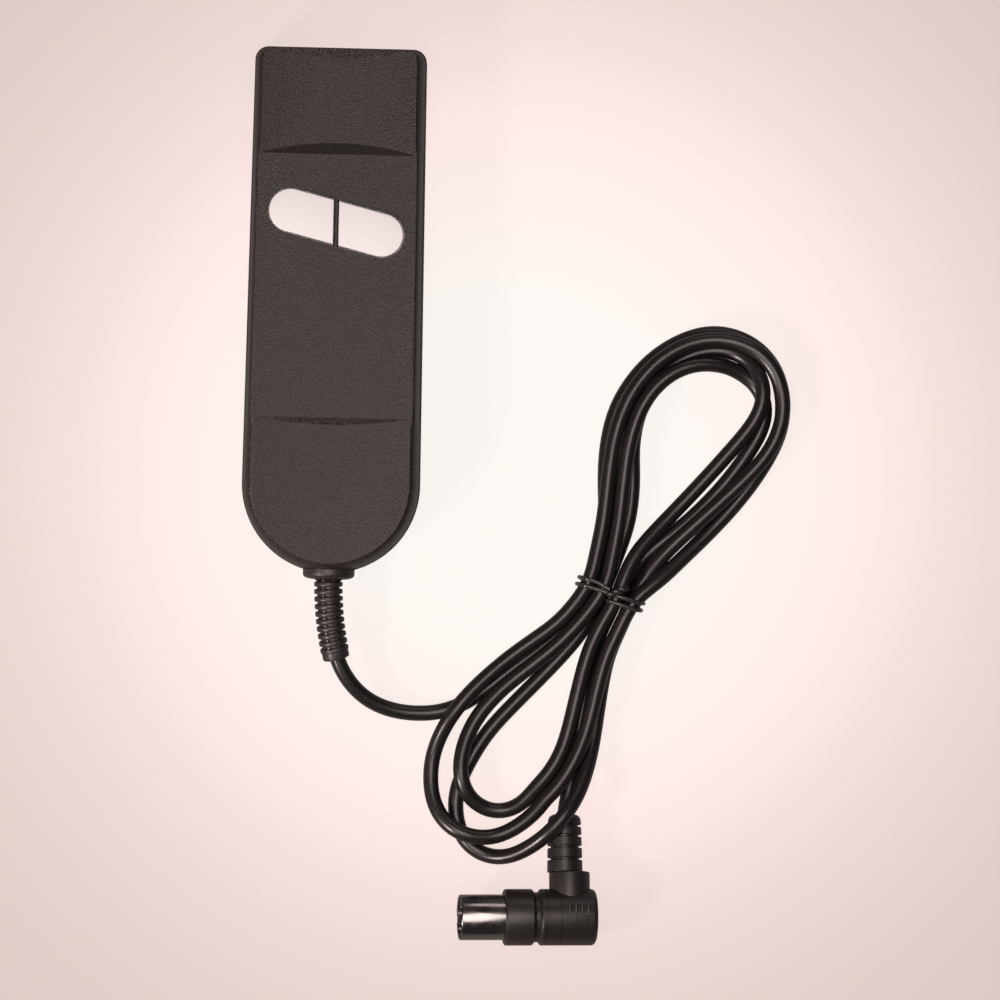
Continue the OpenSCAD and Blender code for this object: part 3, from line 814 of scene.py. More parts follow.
@dataclass
class Buttons:
    """The pair of half-pill buttons, and the wells that they stand in."""

    radius: float = 6.2
    span: float = 27.2
    turn: float = -14.0
    centre_y: float = 25.0
    gap: float = 0.4
    bar: float = 0.7
    edge: float = 0.28
    lip: float = 0.9
    flange: tuple[float, float] = (20.4, 21.6)
    peg_at: float = 5.2
    peg_radius: float = 1.35
    peg_length: float = 2.4
    arc_steps: int = 32

    def half_pill(self, radius: float, side: Side, gap: float, low_z: float,
                  high_z: float) -> Shape:
        """One half of the pill, cut along the case.

        Args:
            radius: Radius of its round end.
            side: Which half.
            gap: Distance of the cut from the middle.
            low_z: Height of its bottom.
            high_z: Height of its top.
        Returns:
            The closed shape.
        """
        shape = bmesh.new()
        middle = self.span / 2
        start = shape.verts.new((middle, -radius, low_z))
        swept = bmesh.ops.spin(shape, geom=[start], cent=(middle, 0, low_z), axis=(0, 0, 1),
                               dvec=(0, 0, 0), angle=math.pi, steps=self.arc_steps,
                               use_merge=False, use_duplicate=False)
        last = next(g for g in swept["geom_last"] if isinstance(g, bmesh.types.BMVert))
        inner = [shape.verts.new((-middle, y, low_z)) for y in (radius, -radius)]
        for pair in ((last, inner[0]), (inner[0], inner[1]), (inner[1], start)):
            shape.edges.new(pair)
        bmesh.ops.contextual_create(shape, geom=shape.edges[:])
        extruded(shape, (0, 0, high_z - low_z))
        bmesh.ops.scale(shape, verts=shape.verts[:], vec=(side.value, side.value, 1))
        place = Matrix.Translation((0, self.centre_y, 0)) @ Matrix.Rotation(
            math.radians(self.turn), 4, "Z")
        bmesh.ops.transform(shape, matrix=place, verts=shape.verts[:])
        return sliced(shape, (side.value * gap, 0, 0), (-side.value, 0, 0))

    def wells(self, low_z: float, ceiling: float, high_z: float) -> Shape:
        """Cutter for both openings, which leaves the bar between them."""
        halves = [self.half_pill(self.radius + self.gap, side, self.bar / 2, low_z, high_z)
                  for side in Side]
        under = block((-self.bar, self.centre_y - self.radius + 0.4, low_z),
                      (self.bar, self.centre_y + self.radius - 0.4, ceiling))
        return Solid(merged(*halves)).join(under, Join.ADD).shape()

    def build(self, side: Side, node: str, body: Body) -> bpy.types.Object:
        """Builds one button.

        Args:
            side: Which half.
            node: The CAD node that it stands for.
            body: The body that it moves with.
        Returns:
            The piece.
        """
        low, high = node_box(node)
        bottom = low.z + self.peg_length
        cut = self.bar / 2 + self.gap
        cap = rounded(self.half_pill(self.radius, side, cut, bottom, high.z), self.edge, 5,
                      lambda m, fold: fold > 60 and m.z > high.z - 0.01)
        rounded(cap, 0.35, 4, lambda m, fold: fold > 60 and abs(abs(m.x) - cut) < 0.02
                and abs(m.z - (bottom + high.z) / 2) < 2)
        flange = self.half_pill(self.radius + self.lip, side, cut, *self.flange)
        turn = math.radians(self.turn)
        at = side.value * self.peg_at
        foot = (at * math.cos(turn), self.centre_y + at * math.sin(turn))
        peg = rod((*foot, low.z), (*foot, bottom + 0.5), self.peg_radius - 0.2, self.peg_radius)
        solid = Solid(cap).join(flange, Join.ADD).join(peg, Join.ADD)
        return finished(solid.shape(), node + "_cap", "button_plastic", body, (node,))

    def spring(self, node: str, body: Body) -> bpy.types.Object:
        """Copies a return spring into a coil piece of its own with the steel finish.

        Args:
            node: The spring's CAD node.
            body: The button's body.
        Returns:
            The piece.
        """
        shape = bmesh.new()
        shape.from_mesh(frame["nodes"][node].data)
        bmesh.ops.transform(shape, matrix=frame["nodes"][node].matrix_world,
                            verts=shape.verts[:])
        bmesh.ops.remove_doubles(shape, verts=shape.verts[:], dist=1e-6)
        piece = holder(shape, node + "_coil")
        piece.data.materials.append(WARDROBE.get("spring_steel"))
        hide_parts(node)
        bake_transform(piece)
        log.info("%s bends between %s and %s", piece.name, Body.HANDSET.value, body.value)
        return piece


# --------------------------------------------------------------------------------- cord


@dataclass
class StrainRelief:
    """Ribbed sleeve that leaves the case straight and then bends."""

    bend: float = 17.2
    roll: float = 35.5
    free: float = 23.2
    ribs: int = 10
    rib_radius: float = 4.15
    groove_radius: float = 3.3
    collar: float = 2.9
    bore: float = 2.35
    lip: float = 7.5
    root: Point = (0.0, -77.9, 11.5)

    def place(self, along: float, u: float = 0.0, v: float = 0.0) -> Vector:
        """Point in or on the sleeve.

        Args:
            along: Distance from the root along the sleeve.
            u: Distance from its centre line towards the bend.
            v: Distance from its centre line across the bend.
        Returns:
            The point in the row frame.
        """
        roll = math.radians(self.roll)
        out = Vector((0, -1, 0))
        inner = Vector((math.cos(roll), 0, -math.sin(roll)))
        across = out.cross(inner)
        radius = self.free / math.radians(self.bend)
        angle = max(along, 0) / radius
        centre = Vector(self.root) + out * (radius * math.sin(angle) + min(along, 0))
        centre += inner * radius * (1 - math.cos(angle))
        towards = inner * math.cos(angle) - out * math.sin(angle)
        return centre + towards * u + across * v

    def profile(self) -> list[tuple[float, float]]:
        """Profile of the lip, the ribs, the collar and the bore as a closed loop."""
        points = [(-6.6, self.bore), (-6.6, 5.8), (-6.4, 6.0), (-5.0, 6.0), (-4.85, 5.8),
                  (-4.85, 4.2), (-3.2, 4.2), (-3.2, 7.2), (-3.0, self.lip), (-1.5, self.lip),
                  (-0.95, 7.35), (-0.5, 6.8), (-0.2, 5.9), (-0.05, 4.9), (0.0, 4.1)]
        pitch = self.free / (self.ribs + 1)
        r = self.rib_radius
        crown = [(0.0, self.groove_radius), (0.0, r - 0.3), (0.08, r - 0.12), (0.2, r - 0.03),
                 (0.5, r), (0.8, r - 0.03), (0.92, r - 0.12), (1.0, r - 0.3),
                 (1.0, self.groove_radius)]
        width = 0.68 * pitch
        for k in range(self.ribs):
            start = (k + 0.3) * pitch
            points += [(start + width * s, r) for s, r in crown]
        end = self.free
        start = end - self.collar
        points += [(start, self.groove_radius), (start, 3.6), (start + 0.25, 3.85),
                   (end - 0.5, 3.9), (end - 0.15, 3.75), (end, 3.4), (end, self.bore + 0.15),
                   (end - 0.2, self.bore)]
        return points

    def webs(self) -> list[Shape]:
        """Small bridges between the ribs, in pairs on opposite sides."""
        pitch = self.free / (self.ribs + 1)
        up = 90.0 + self.roll
        shapes = []
        for k in range(self.ribs):
            middle = (k + 0.14) * pitch
            for angle in (up - 24, up + 24, up + 156, up + 204):
                web = block((middle - 0.45, -0.42, 3.1), (middle + 0.45, 0.42, 3.86))
                rounded(web, 0.14, 2, lambda m, fold: m.z > 3.8)
                turn = Matrix.Rotation(math.radians(angle - 90), 4, "X")
                bmesh.ops.transform(web, matrix=turn, verts=web.verts[:])
                shapes.append(web)
        return shapes

    def build(self) -> bpy.types.Object:
        """Builds the sleeve and bends it.

        Returns:
            The piece.
        """
        shape = merged(turned(self.profile(), 72, ring=True), *self.webs())
        for vert in shape.verts:
            vert.co = self.place(vert.co.x, vert.co.y, vert.co.z)
        return finished(pointed_out(shape), "strain_relief_sleeve", "relief_rubber",
                        Body.HANDSET, ("strain_relief",), 40)


@dataclass
class Plug:
    """Right-angle round plug. Its axis is local X and its boot lies along local Y."""

    centre: tuple[float, float] = (71.0, -174.2)
    turn: float = 2.0
    pitch: float = 7.0
    body_radius: float = 8.2
    boot_radius: float = 5.15
    reach: float = 29.9
    shield_radius: float = 6.625
    shield_wall: float = 0.5
    x_start: float = -18.1
    x_end: float = 8.8
    shield_out: float = 12.9
    neck_radius: float = 5.9
    heel_chamfer: float = 0.8
    neck_x: float = 1.3
    neck_reach: float = 13.1
    bore: float = 2.35
    ridge_pitch: float = 1.83
    grooves: tuple[float, ...] = (16.9, 20.4, 23.6, 26.5)
    key_half: float = 1.1
    pin_circle: float = 3.5
    pin_radius: float = 0.725

    def __post_init__(self) -> None:
        """Works out how the plug lies on the ground."""
        pitch = math.radians(self.pitch)
        heel = self.x_end - self.heel_chamfer
        rise = self.body_radius * math.cos(pitch) + heel * math.sin(pitch)
        roll = -math.asin((rise - self.boot_radius) / self.reach)
        self.place = (Matrix.Translation((*self.centre, rise))
                      @ Matrix.Rotation(math.radians(self.turn), 4, "Z")
                      @ Matrix.Rotation(roll, 4, "X") @ Matrix.Rotation(pitch, 4, "Y"))

    def point(self, x: float, y: float, z: float) -> Vector:
        """A local point in the row frame."""
        return self.place @ Vector((x, y, z))

    def placed(self, shape: Shape) -> Shape:
        """Moves a local shape to where the plug lies."""
        bmesh.ops.transform(shape, matrix=self.place, verts=shape.verts[:])
        return shape

    def housing(self) -> bpy.types.Object:
        """Builds the moulded body with its neck, finger groove and grip ridges."""
        r = self.body_radius
        a, b = self.x_start, self.x_end
        body = turned([(a, 0), (a, r - 0.75), (a + 0.1, r - 0.35), (a + 0.35, r - 0.1),
                       (a + 0.7, r), (a + 8.0, r), (a + 8.35, r - 0.25), (a + 8.9, r - 0.95),
                       (a + 9.9, r - 0.95), (a + 10.45, r - 0.25), (a + 10.8, r),
                       (a + 11.7, r), (a + 11.75, r - 0.22), (a + 11.95, r - 0.22),
                       (a + 12.0, r), (a + 16.05, r), (a + 16.1, r - 0.22), (a + 16.3, r - 0.22),
                       (a + 16.35, r), (b - 1.5, r), (b - 0.9, r - 0.12), (b - 0.4, r - 0.5),
                       (b - 0.1, r - 1.1), (b, r - 1.9), (b, 0)], 128)
        neck = rod((self.neck_x, 0, 0), (self.neck_x, self.neck_reach, 0), self.neck_radius,
                   segments=96)
        rounded(neck, 0.5, 4, lambda m, fold: fold > 60 and m.y > self.neck_reach - 0.01)
        solid = Solid(body).join(neck, Join.ADD)
        ridges = []
        for k in range(4):
            x = 0.3 + self.ridge_pitch * k
            ridge = block((x - 0.3, 0.2, r - 0.9), (x + 0.3, 3.9, r + 0.26))
            ridges.append(rounded(ridge, 0.2, 3, lambda m, fold: m.z > r - 0.5))
        solid.join(merged(*ridges), Join.ADD)
        solid.join(rod((a - 1, 0, 0), (a + 8, 0, 0), self.shield_radius + 0.25, segments=96),
                   Join.CUT)
        solid.join(rod((0, 10, 0), (0, self.neck_reach + 1, 0), self.bore), Join.CUT)
        return finished(self.placed(solid.shape()), "plug_body", "plug_plastic", Body.HANDSET,
                        ("plug_housing",), 28)

    def boot(self) -> bpy.types.Object:
        """Builds the grooved boot that the cord comes out of."""
        r, y0, y1 = self.boot_radius, self.neck_reach, self.reach
        outer = [(y0 + 0.02, r - 0.1), (y0 + 0.2, r)]
        for y in self.grooves:
            thin = r - 0.02 * (y - y0)
            outer += [(y - 0.5, thin), (y - 0.38, thin - 0.15), (y - 0.3, thin - 0.95),
                      (y + 0.3, thin - 0.95), (y + 0.38, thin - 0.15), (y + 0.5, thin)]
        tip = r - 0.4
        outer += [(y1 - 1.6, tip), (y1 - 0.9, tip - 0.25), (y1 - 0.35, tip - 0.8), (y1, tip - 1.7)]
        shape = turned([(y0 + 0.02, self.bore), *outer, (y1, self.bore)], 96, ring=True)
        bmesh.ops.rotate(shape, verts=shape.verts[:], cent=(0, 0, 0),
                         matrix=Matrix.Rotation(math.pi / 2, 3, "Z"))
        return finished(self.placed(shape), "plug_boot_sleeve", "plug_plastic", Body.HANDSET,
                        ("plug_boot",), 28)

    def shield(self) -> bpy.types.Object:
        """Builds the plated shield with its rolled lip and key slot."""
        r, w = self.shield_radius, self.shield_wall
        tip, seat = self.x_start - self.shield_out, self.x_start + 7.9
        shape = turned([(seat, r - w), (seat, r + 0.25), (self.x_start + 0.1, r + 0.25),
                        (self.x_start + 0.1, r), (tip + 0.35, r), (tip + 0.12, r - 0.1),
                        (tip, r - 0.25), (tip + 0.12, r - 0.42), (tip + 0.35, r - w)], 128,
                       ring=True)
        key = self.key_half
        dent = block((tip + 0.1, -key - 0.25, -r + 0.42), (tip + 5.3, key + 0.25, -r + 1.2))
        slot = block((tip - 1, -key, -r - 1), (tip + 5, key, -r + 0.7))
        solid = Solid(shape).join(dent, Join.ADD).join(slot, Join.CUT)
        return finished(self.placed(solid.shape()), "plug_shield_shell", "shield_metal",
                        Body.HANDSET, ("plug_shield",))

    def pins(self) -> bpy.types.Object:
        """Builds the five round-nosed contact pins."""
        shapes = []
        tip = self.x_start - self.shield_out + 3
        seat = self.x_start + 7.8
        for k in range(5):
            angle = math.radians(45 * k)
            pin = turned([(tip, 0), (tip + 0.04, 0.3), (tip + 0.16, 0.52), (tip + 0.38, 0.68),
                          (tip + 0.7, self.pin_radius), (seat, self.pin_radius),
                          (seat, 0)], 32)
            at = (0, self.pin_circle * math.cos(angle), self.pin_circle * math.sin(angle))
            bmesh.ops.translate(pin, verts=pin.verts[:], vec=at)
            shapes.append(pin)
        return finished(self.placed(merged(*shapes)), "plug_contact_pins", "contact_metal",
                        Body.HANDSET, ("plug_pins",))


@dataclass
class FreeCord:
    """The cord from the case to the plug: straight lead, six turns in a tied hank, plug."""

    diameter: float = 4.5
    spacing: float = 1.5
    length: float = 1500.0
    rounds: int = 160
    search_every: int = 8
    search_reach: float = 1.6
    damping: float = 0.995
    held_start: float = 26.0
    eased: float = 20.0
    wire_under: float = 1.1
    wire_half: float = 14.0
    wire_fall: float = 9.0
    waist: Point = (81.7, -80.2, 0.0)
    across: float = -18.2

    # Where the strands pass the tie: four places across it, each on the table and on top
    first_low: Point = (75.5, -78, 2.25)
    first_high: Point = (75.5, -78, 6.75)
    second_low: Point = (79.5, -79.5, 2.25)
    second_high: Point = (79.5, -79.5, 6.75)
    third_low: Point = (84, -81, 2.25)
    third_high: Point = (84, -81, 6.75)
    fourth_low: Point = (88, -82, 2.25)
    fourth_high: Point = (88, -82, 6.75)

    def route(self) -> list[Point]:
        """Listed points of the route after the strain relief, loop by loop."""
        lead = [(6.5, -107.5, 7.6), (12.5, -113, 5.2), (21, -116, 3.2), (31, -116.2, 2.25),
                (38.5, -114, 2.25), (46, -109, 2.25), (55.5, -101.5, 2.25),
                (63.5, -95.5, 2.25), (70, -89, 2.25)]
        upper_1 = [self.first_low, (78, -69, 2.25), (80, -58, 2.25), (79.5, -47.5, 2.25),
                   (80, -36, 2.25), (83, -24.5, 2.25), (90.5, -13.5, 2.25), (100, -6.5, 2.25),
                   (110, -3.5, 2.25), (120, -5.8, 2.25), (127.3, -12.2, 2.25),
                   (130.5, -21, 2.25), (130.3, -31, 2.25), (126, -41, 2.25),
                   (118.5, -52, 2.25), (109.5, -62, 2.75), (99.5, -71.5, 5), (93.5, -77, 6.5)]
        lower_1 = [self.fourth_high, (84.5, -90, 6.75), (81, -98, 6.75), (78.8, -107, 6.5),
                   (76.8, -117, 6.25), (74.5, -125, 6.75), (71.3, -132.5, 7.25),
                   (67, -139.5, 6), (61, -146, 5), (53, -151, 4.5), (47, -152.2, 5.25),
                   (41, -151.2, 6.75), (36, -148.3, 5.75), (32.2, -143, 4),
                   (30.8, -136, 2.75), (31.2, -129, 2.5), (33.3, -122.5, 4),
                   (37.5, -115, 6.75), (44, -107.5, 6), (53, -99.5, 5), (61, -93.5, 5.25),
                   (68, -88, 6)]
        upper_2 = [self.first_high, (77.5, -69.5, 6.75), (79.5, -58.5, 6.75), (80.5, -47.5, 6.75),
                   (82, -36, 6.75), (85.5, -24.5, 6.75), (92, -14.5, 6.75),
                   (100.5, -8, 6.5), (110, -5.5, 6.25), (119.5, -7.2, 6.75),
                   (126.8, -12.8, 6.75), (130.3, -20.8, 6.75), (130.3, -29.5, 6.75),
                   (126.5, -38.5, 6.75), (118.5, -47.5, 6.5), (107.5, -58, 6.5),
                   (97.5, -67.5, 5.5), (91.7, -75, 3)]
        lower_2 = [self.fourth_low, (84.8, -90, 2.25), (81.5, -98, 2.25), (79.8, -107, 2.25),
                   (78.5, -117, 2.25), (77.6, -124, 3.25), (76, -131.5, 6),
                   (73.7, -138.3, 9.5), (70.5, -143.8, 12.25), (66.5, -148.8, 12.75),
                   (61, -153.6, 9.5), (55, -157, 5.5), (49.7, -157.8, 2.75),
                   (44.3, -156, 2.25), (40, -151.5, 2.25), (38.3, -145, 2.25),
                   (38.6, -138, 2.25), (42, -130, 2.25), (47, -121.5, 2.25),
                   (54, -113.5, 2.25), (62.5, -104.5, 2.25), (70.5, -95.5, 2.25),
                   (75.7, -88, 2.25)]
        upper_3 = [self.second_low, (83, -70, 2.25), (86.5, -59, 2.25), (87.5, -47.5, 2.25),
                   (87, -37, 2.25), (89, -26.5, 2.25), (94.5, -17, 2.25),
                   (102, -10.8, 2.25), (110.5, -8.5, 2.25), (118, -10, 3),
                   (123, -14.8, 5.5), (125, -21.5, 7), (122.8, -28.8, 6.75),
                   (113.5, -40.5, 4.5), (103, -52.5, 3.5), (93, -63.5, 5), (87.5, -71, 6.25)]
        lower_3 = [self.third_high, (79.5, -89, 6.75), (76, -97, 6.75), (73.6, -107, 6.5),
                   (71.7, -117, 6.25), (69.8, -126, 6.75), (66.7, -133.5, 7),
                   (62.5, -139.3, 6.25), (58, -143.2, 4), (52.5, -145, 3), (47, -144, 3.5),
                   (42.3, -140.5, 5), (39.6, -135, 6.75), (39.8, -127, 6),
                   (43.5, -117.5, 5), (51, -108.5, 6), (60, -101, 6.25), (69, -93, 6.5)]
        upper_4 = [self.second_high, (82, -69.5, 6.5), (83.8, -58.5, 6.25), (84.8, -47.5, 6),
                   (86.2, -36, 6), (89.3, -25.5, 6.5), (94.8, -18, 6.5),
                   (102.5, -13.2, 6.25), (111, -12.2, 5.25), (119, -14.2, 3),
                   (124.5, -19.5, 2.25), (126, -26.5, 2.25), (123.3, -34.5, 2.25),
                   (114.5, -47.5, 2.25), (104.5, -58.5, 2.25), (94.5, -67.5, 2.25),
                   (88.3, -74.5, 2.25)]
        tail = [self.third_low, (80, -89, 2.25), (77, -97, 2.25), (75.2, -107, 2.25),
                (74, -117, 2.25), (73, -125, 2.5), (71.9, -132, 3.25), (71, -138.5, 4.25)]
        return [*lead, *upper_1, *lower_1, *upper_2, *lower_2, *upper_3, *lower_3, *upper_4,
                *tail]

    def smooth(self, points: np.ndarray) -> np.ndarray:
        """Evenly spaced points on a smooth curve.

        Args:
            points: The points that the curve runs through.
        Returns:
            Points at the cord's own spacing, softened so that no bend is sudden.
        """
        padded = np.vstack([2 * points[0] - points[1], points, 2 * points[-1] - points[-2]])
        t = np.linspace(0, 1, 12, endpoint=False)[:, None]
        pieces = []
        for a, b, c, d in zip(padded, padded[1:], padded[2:], padded[3:]):
            pieces.append(0.5 * (2 * b + (c - a) * t + (2 * a - 5 * b + 4 * c - d) * t ** 2
                                 + (3 * b - a - 3 * c + d) * t ** 3))
        dense = self.spaced(np.vstack([*pieces, points[-1:]]))
        for _ in range(10):
            dense[1:-1] += 0.5 * ((dense[:-2] + dense[2:]) / 2 - dense[1:-1])
        return self.spaced(dense)

    def spaced(self, points: np.ndarray) -> np.ndarray:
        """The same line with its points the cord's spacing apart."""
        steps = np.linalg.norm(np.diff(points, axis=0), axis=1)
        along = np.concatenate([[0], np.cumsum(steps)])
        wanted = np.linspace(0, along[-1], int(round(along[-1] / self.spacing)) + 1)
        return np.stack([np.interp(wanted, along, points[:, k]) for k in range(3)], axis=1)

    def hold(self, count: int) -> np.ndarray:
        """How freely each point of the cord may move, from 0 at its ends to 1."""
        eased, start = int(self.eased / self.spacing), int(self.held_start / self.spacing)
        hold = np.ones(count)
        hold[:start] = 0
        hold[start:start + eased] = np.linspace(0, 1, eased)
        hold[-eased:] = np.linspace(1, 0, eased)
        return hold

    def parted(self, line: np.ndarray, one: np.ndarray, two: np.ndarray) -> np.ndarray:
        """Moves pairs of points apart to one diameter.

        Args:
            line: Points along the cord.
            one: Index of the first point of each pair.
            two: Index of the second.
        Returns:
            The moved points.
        """
        apart = line[two] - line[one]
        gap = np.maximum(np.linalg.norm(apart, axis=1), 1e-3)
        push = np.maximum(self.diameter - gap, 0) / gap
        move = apart * push[:, None] * 0.5
        shift = np.zeros_like(line)
        weight = np.zeros(len(line))
        np.add.at(shift, two, move)
        np.add.at(shift, one, -move)
        np.add.at(weight, two, push > 0)
        np.add.at(weight, one, push > 0)
        return line + shift / np.maximum(weight, 1)[:, None]

    def off_boot(self, line: np.ndarray, boot: tuple[Vector, Vector, float],
                 free: np.ndarray) -> np.ndarray:
        """Lifts the cord out of the plug's boot.

        Args:
            line: Points along the cord.
            boot: Start, end and radius of the boot.
            free: Which points lie over the boot rather than in it.
        Returns:
            The moved points.
        """
        start = np.array(boot[0])
        axis = np.array(boot[1]) - start
        clear = boot[2] + self.diameter / 2
        share = np.clip((line - start) @ axis / (axis @ axis), 0, 1)
        away = line - (start + share[:, None] * axis)
        reach = np.maximum(np.linalg.norm(away, axis=1), 1e-3)
        lift = np.where(free & (reach < clear), clear - reach, 0)
        return line + away / reach[:, None] * lift[:, None]

    def lowest(self, line: np.ndarray) -> np.ndarray:
        """Lowest height of each point: on the table, or on the tie's wire at the waist."""
        turn = math.radians(self.across)
        along = np.array([-math.sin(turn), math.cos(turn)])
        from_waist = line[:, :2] - np.array(self.waist[:2])
        past = from_waist @ along
        aside = from_waist @ np.array([along[1], -along[0]])
        return self.diameter / 2 + np.where(
            np.abs(aside) < self.wire_half,
            self.wire_under * np.exp(-(past / self.wire_fall) ** 2), 0)

    def settled(self, line: np.ndarray, boot: tuple[Vector, Vector, float]) -> np.ndarray:
        """Pushes strands apart until they lie on each other and not in each other.

        Args:
            line: Points along the cord.
            boot: Start, end and radius of the boot that a strand lies over.
        Returns:
            The points after settling.
        """
        rest = line.copy()
        count = len(line)
        hold = self.hold(count)
        free = np.arange(count) < count - 2 * int(self.eased / self.spacing)
        first, second = np.triu_indices(count, k=int(3 * self.diameter / self.spacing))
        for step in range(self.rounds):
            if step % self.search_every == 0:
                close = (np.linalg.norm(line[second] - line[first], axis=1)
                         < self.search_reach * self.diameter)
                one, two = first[close], second[close]
            line = self.off_boot(self.parted(line, one, two), boot, free)
            offset = (line - rest) * hold[:, None]
            for _ in range(2):
                offset[1:-1] += 0.5 * ((offset[:-2] + offset[2:]) / 2 - offset[1:-1])
            line = rest + offset * self.damping
            line[:, 2] = np.where(hold > 0, np.maximum(line[:, 2], self.lowest(line)),
                                  line[:, 2])
        return line

    def build(self, relief: StrainRelief, plug: Plug,
              pieces: list[bpy.types.Object]) -> bpy.types.Object:
        """Builds the cord as one open spline.

        Args:
            relief: The strain relief that it starts in.
            plug: The plug that it ends in.
            pieces: The separate pieces on it; not used.
        Returns:
            The cord.
        """
        starts = [tuple(relief.place(s * relief.free)) for s in (0, 0.25, 0.5, 0.75, 1)]
        ends = [tuple(plug.point(0, y, 0)) for y in (plug.reach, 20, 12)]
        points = np.array([*starts, *self.route(), *ends], float)
        boot = (plug.point(0, 2, 0), plug.point(0, plug.reach, 0), plug.boot_radius)
        line = self.settled(self.smooth(points), boot)
        curve = bpy.data.curves.new("cord", "CURVE")
        curve.dimensions = "3D"
        curve.bevel_depth = self.diameter / 2 * MM
        curve.bevel_resolution = 6
        curve.use_fill_caps = True
        spline = curve.splines.new("POLY")
        spline.points.add(len(line) - 1)
        spline.points.foreach_set("co", np.column_stack([line * MM, np.ones(len(line))]).ravel())
        spline.use_smooth = True
        cord = bpy.data.objects.new("cord", curve)
        bpy.context.scene.collection.objects.link(cord)
        curve.materials.append(WARDROBE.get("cord_jacket"))
        enlisted(cord, Body.HANDSET, ("cord_lead", "cord_hank", "cord_tail"))
        length = float(np.linalg.norm(np.diff(line, axis=0), axis=1).sum()) * MM
        log.info("cord length %.3f m", length)
        return cord


@dataclass
class TwistTie:
    """Plastic-coated wire, wound twice round the waist of the hank and twisted."""

    centre: Point = (81.7, -80.3, 0.0)
    across: float = -18.2
    half: float = 9.75
    top: float = 10.6
    wire: float = 1.25
    drift: float = 2.1
    twist_turns: float = 1.6
    twist_steps: int = 22

    def turn(self, start: float, end: float) -> list[Point]:
        """One turn round the waist, in its own frame.

        Args:
            start: Place along the hank where the turn starts.
            end: Place along the hank where it ends.
        Returns:
            Its points, from the top over the right side, under and up the left side.
        """
        h, t, low = self.half, self.top, self.wire / 2
        corners = [(-0.55 * h, t), (0, t + 0.15), (0.55 * h, t), (0.88 * h, t - 0.9),
                   (h, t - 2.8), (h, low + 2.8), (0.88 * h, low + 0.7), (0.5 * h, low),
                   (0, low), (-0.5 * h, low), (-0.88 * h, low + 0.7), (-h, low + 2.8),
                   (-h, t - 2.8), (-0.88 * h, t - 0.9)]
        count = len(corners)
        return [(x, start + (end - start) * k / count, z) for k, (x, z) in enumerate(corners)]

    def twist(self, phase: float) -> list[Point]:
        """One wire of the twisted ends, which lie along the top of the hank."""
        points = []
        for k in range(self.twist_steps + 1):
            share = k / self.twist_steps
            angle = phase + share * self.twist_turns * 2 * math.pi
            x = -0.4 + 4.4 * share
            y = -0.4 + 4.0 * share
            swing = 0.35 * math.cos(angle)
            points.append((x - swing, y + swing,
                           self.top + 0.75 + 0.55 * math.sin(angle) - 0.8 * share ** 2))
        return points

    def tube(self, points: list[Point], name: str) -> Shape:
        """Sweeps the wire along a smooth line through points.

        Args:
            points: The points, in the tie's own frame.
            name: Name of the scratch curve.
        Returns:
            The closed shape.
        """
        curve = bpy.data.curves.new(name, "CURVE")
        curve.dimensions = "3D"
        curve.bevel_depth = self.wire / 2
        curve.bevel_resolution = 4
        curve.use_fill_caps = True
        spline = curve.splines.new("BEZIER")
        spline.bezier_points.add(len(points) - 1)
        for knot, point in zip(spline.bezier_points, points):
            knot.co = point
            knot.handle_left_type = knot.handle_right_type = "AUTO"
        scratch = bpy.data.objects.new(name, curve)
        bpy.context.scene.collection.objects.link(scratch)
        graph = bpy.context.evaluated_depsgraph_get()
        mesh = bpy.data.meshes.new_from_object(scratch.evaluated_get(graph))
        shape = bmesh.new()
        shape.from_mesh(mesh)
        bpy.data.objects.remove(scratch)
        return pointed_out(shape)

    def build(self) -> bpy.types.Object:
        """Builds the tie.

        Returns:
            The piece.
        """
        low, middle, high = -self.drift, 0.1, self.drift
        winding = [*self.turn(low, middle), *self.turn(middle, high)]
        lead_out = [(-0.55 * self.half, high, self.top), (-0.6, 0.6 * high, self.top + 0.35)]
        shapes = [self.tube([(-0.4, low, self.top + 0.3), *winding[1:], *lead_out],
                            "winding"),
                  self.tube(self.twist(0.0), "end_a"), self.tube(self.twist(math.pi), "end_b")]
        shape = merged(*shapes)
        place = Matrix.Translation(self.centre) @ Matrix.Rotation(
            math.radians(self.across), 4, "Z")
        bmesh.ops.transform(shape, matrix=place, verts=shape.verts[:])
        return finished(shape, "cord_twist_tie", "tie_plastic", Body.HANDSET, ("cord_tie",), 50)


# ------------------------------------------------------------------------------ studio


@dataclass(frozen=True)
class Lamp:
    """One soft box: its place, its width and height in metres, and its power in watts."""

    name: str
    place: Point
    size: tuple[float, float]
    power: float


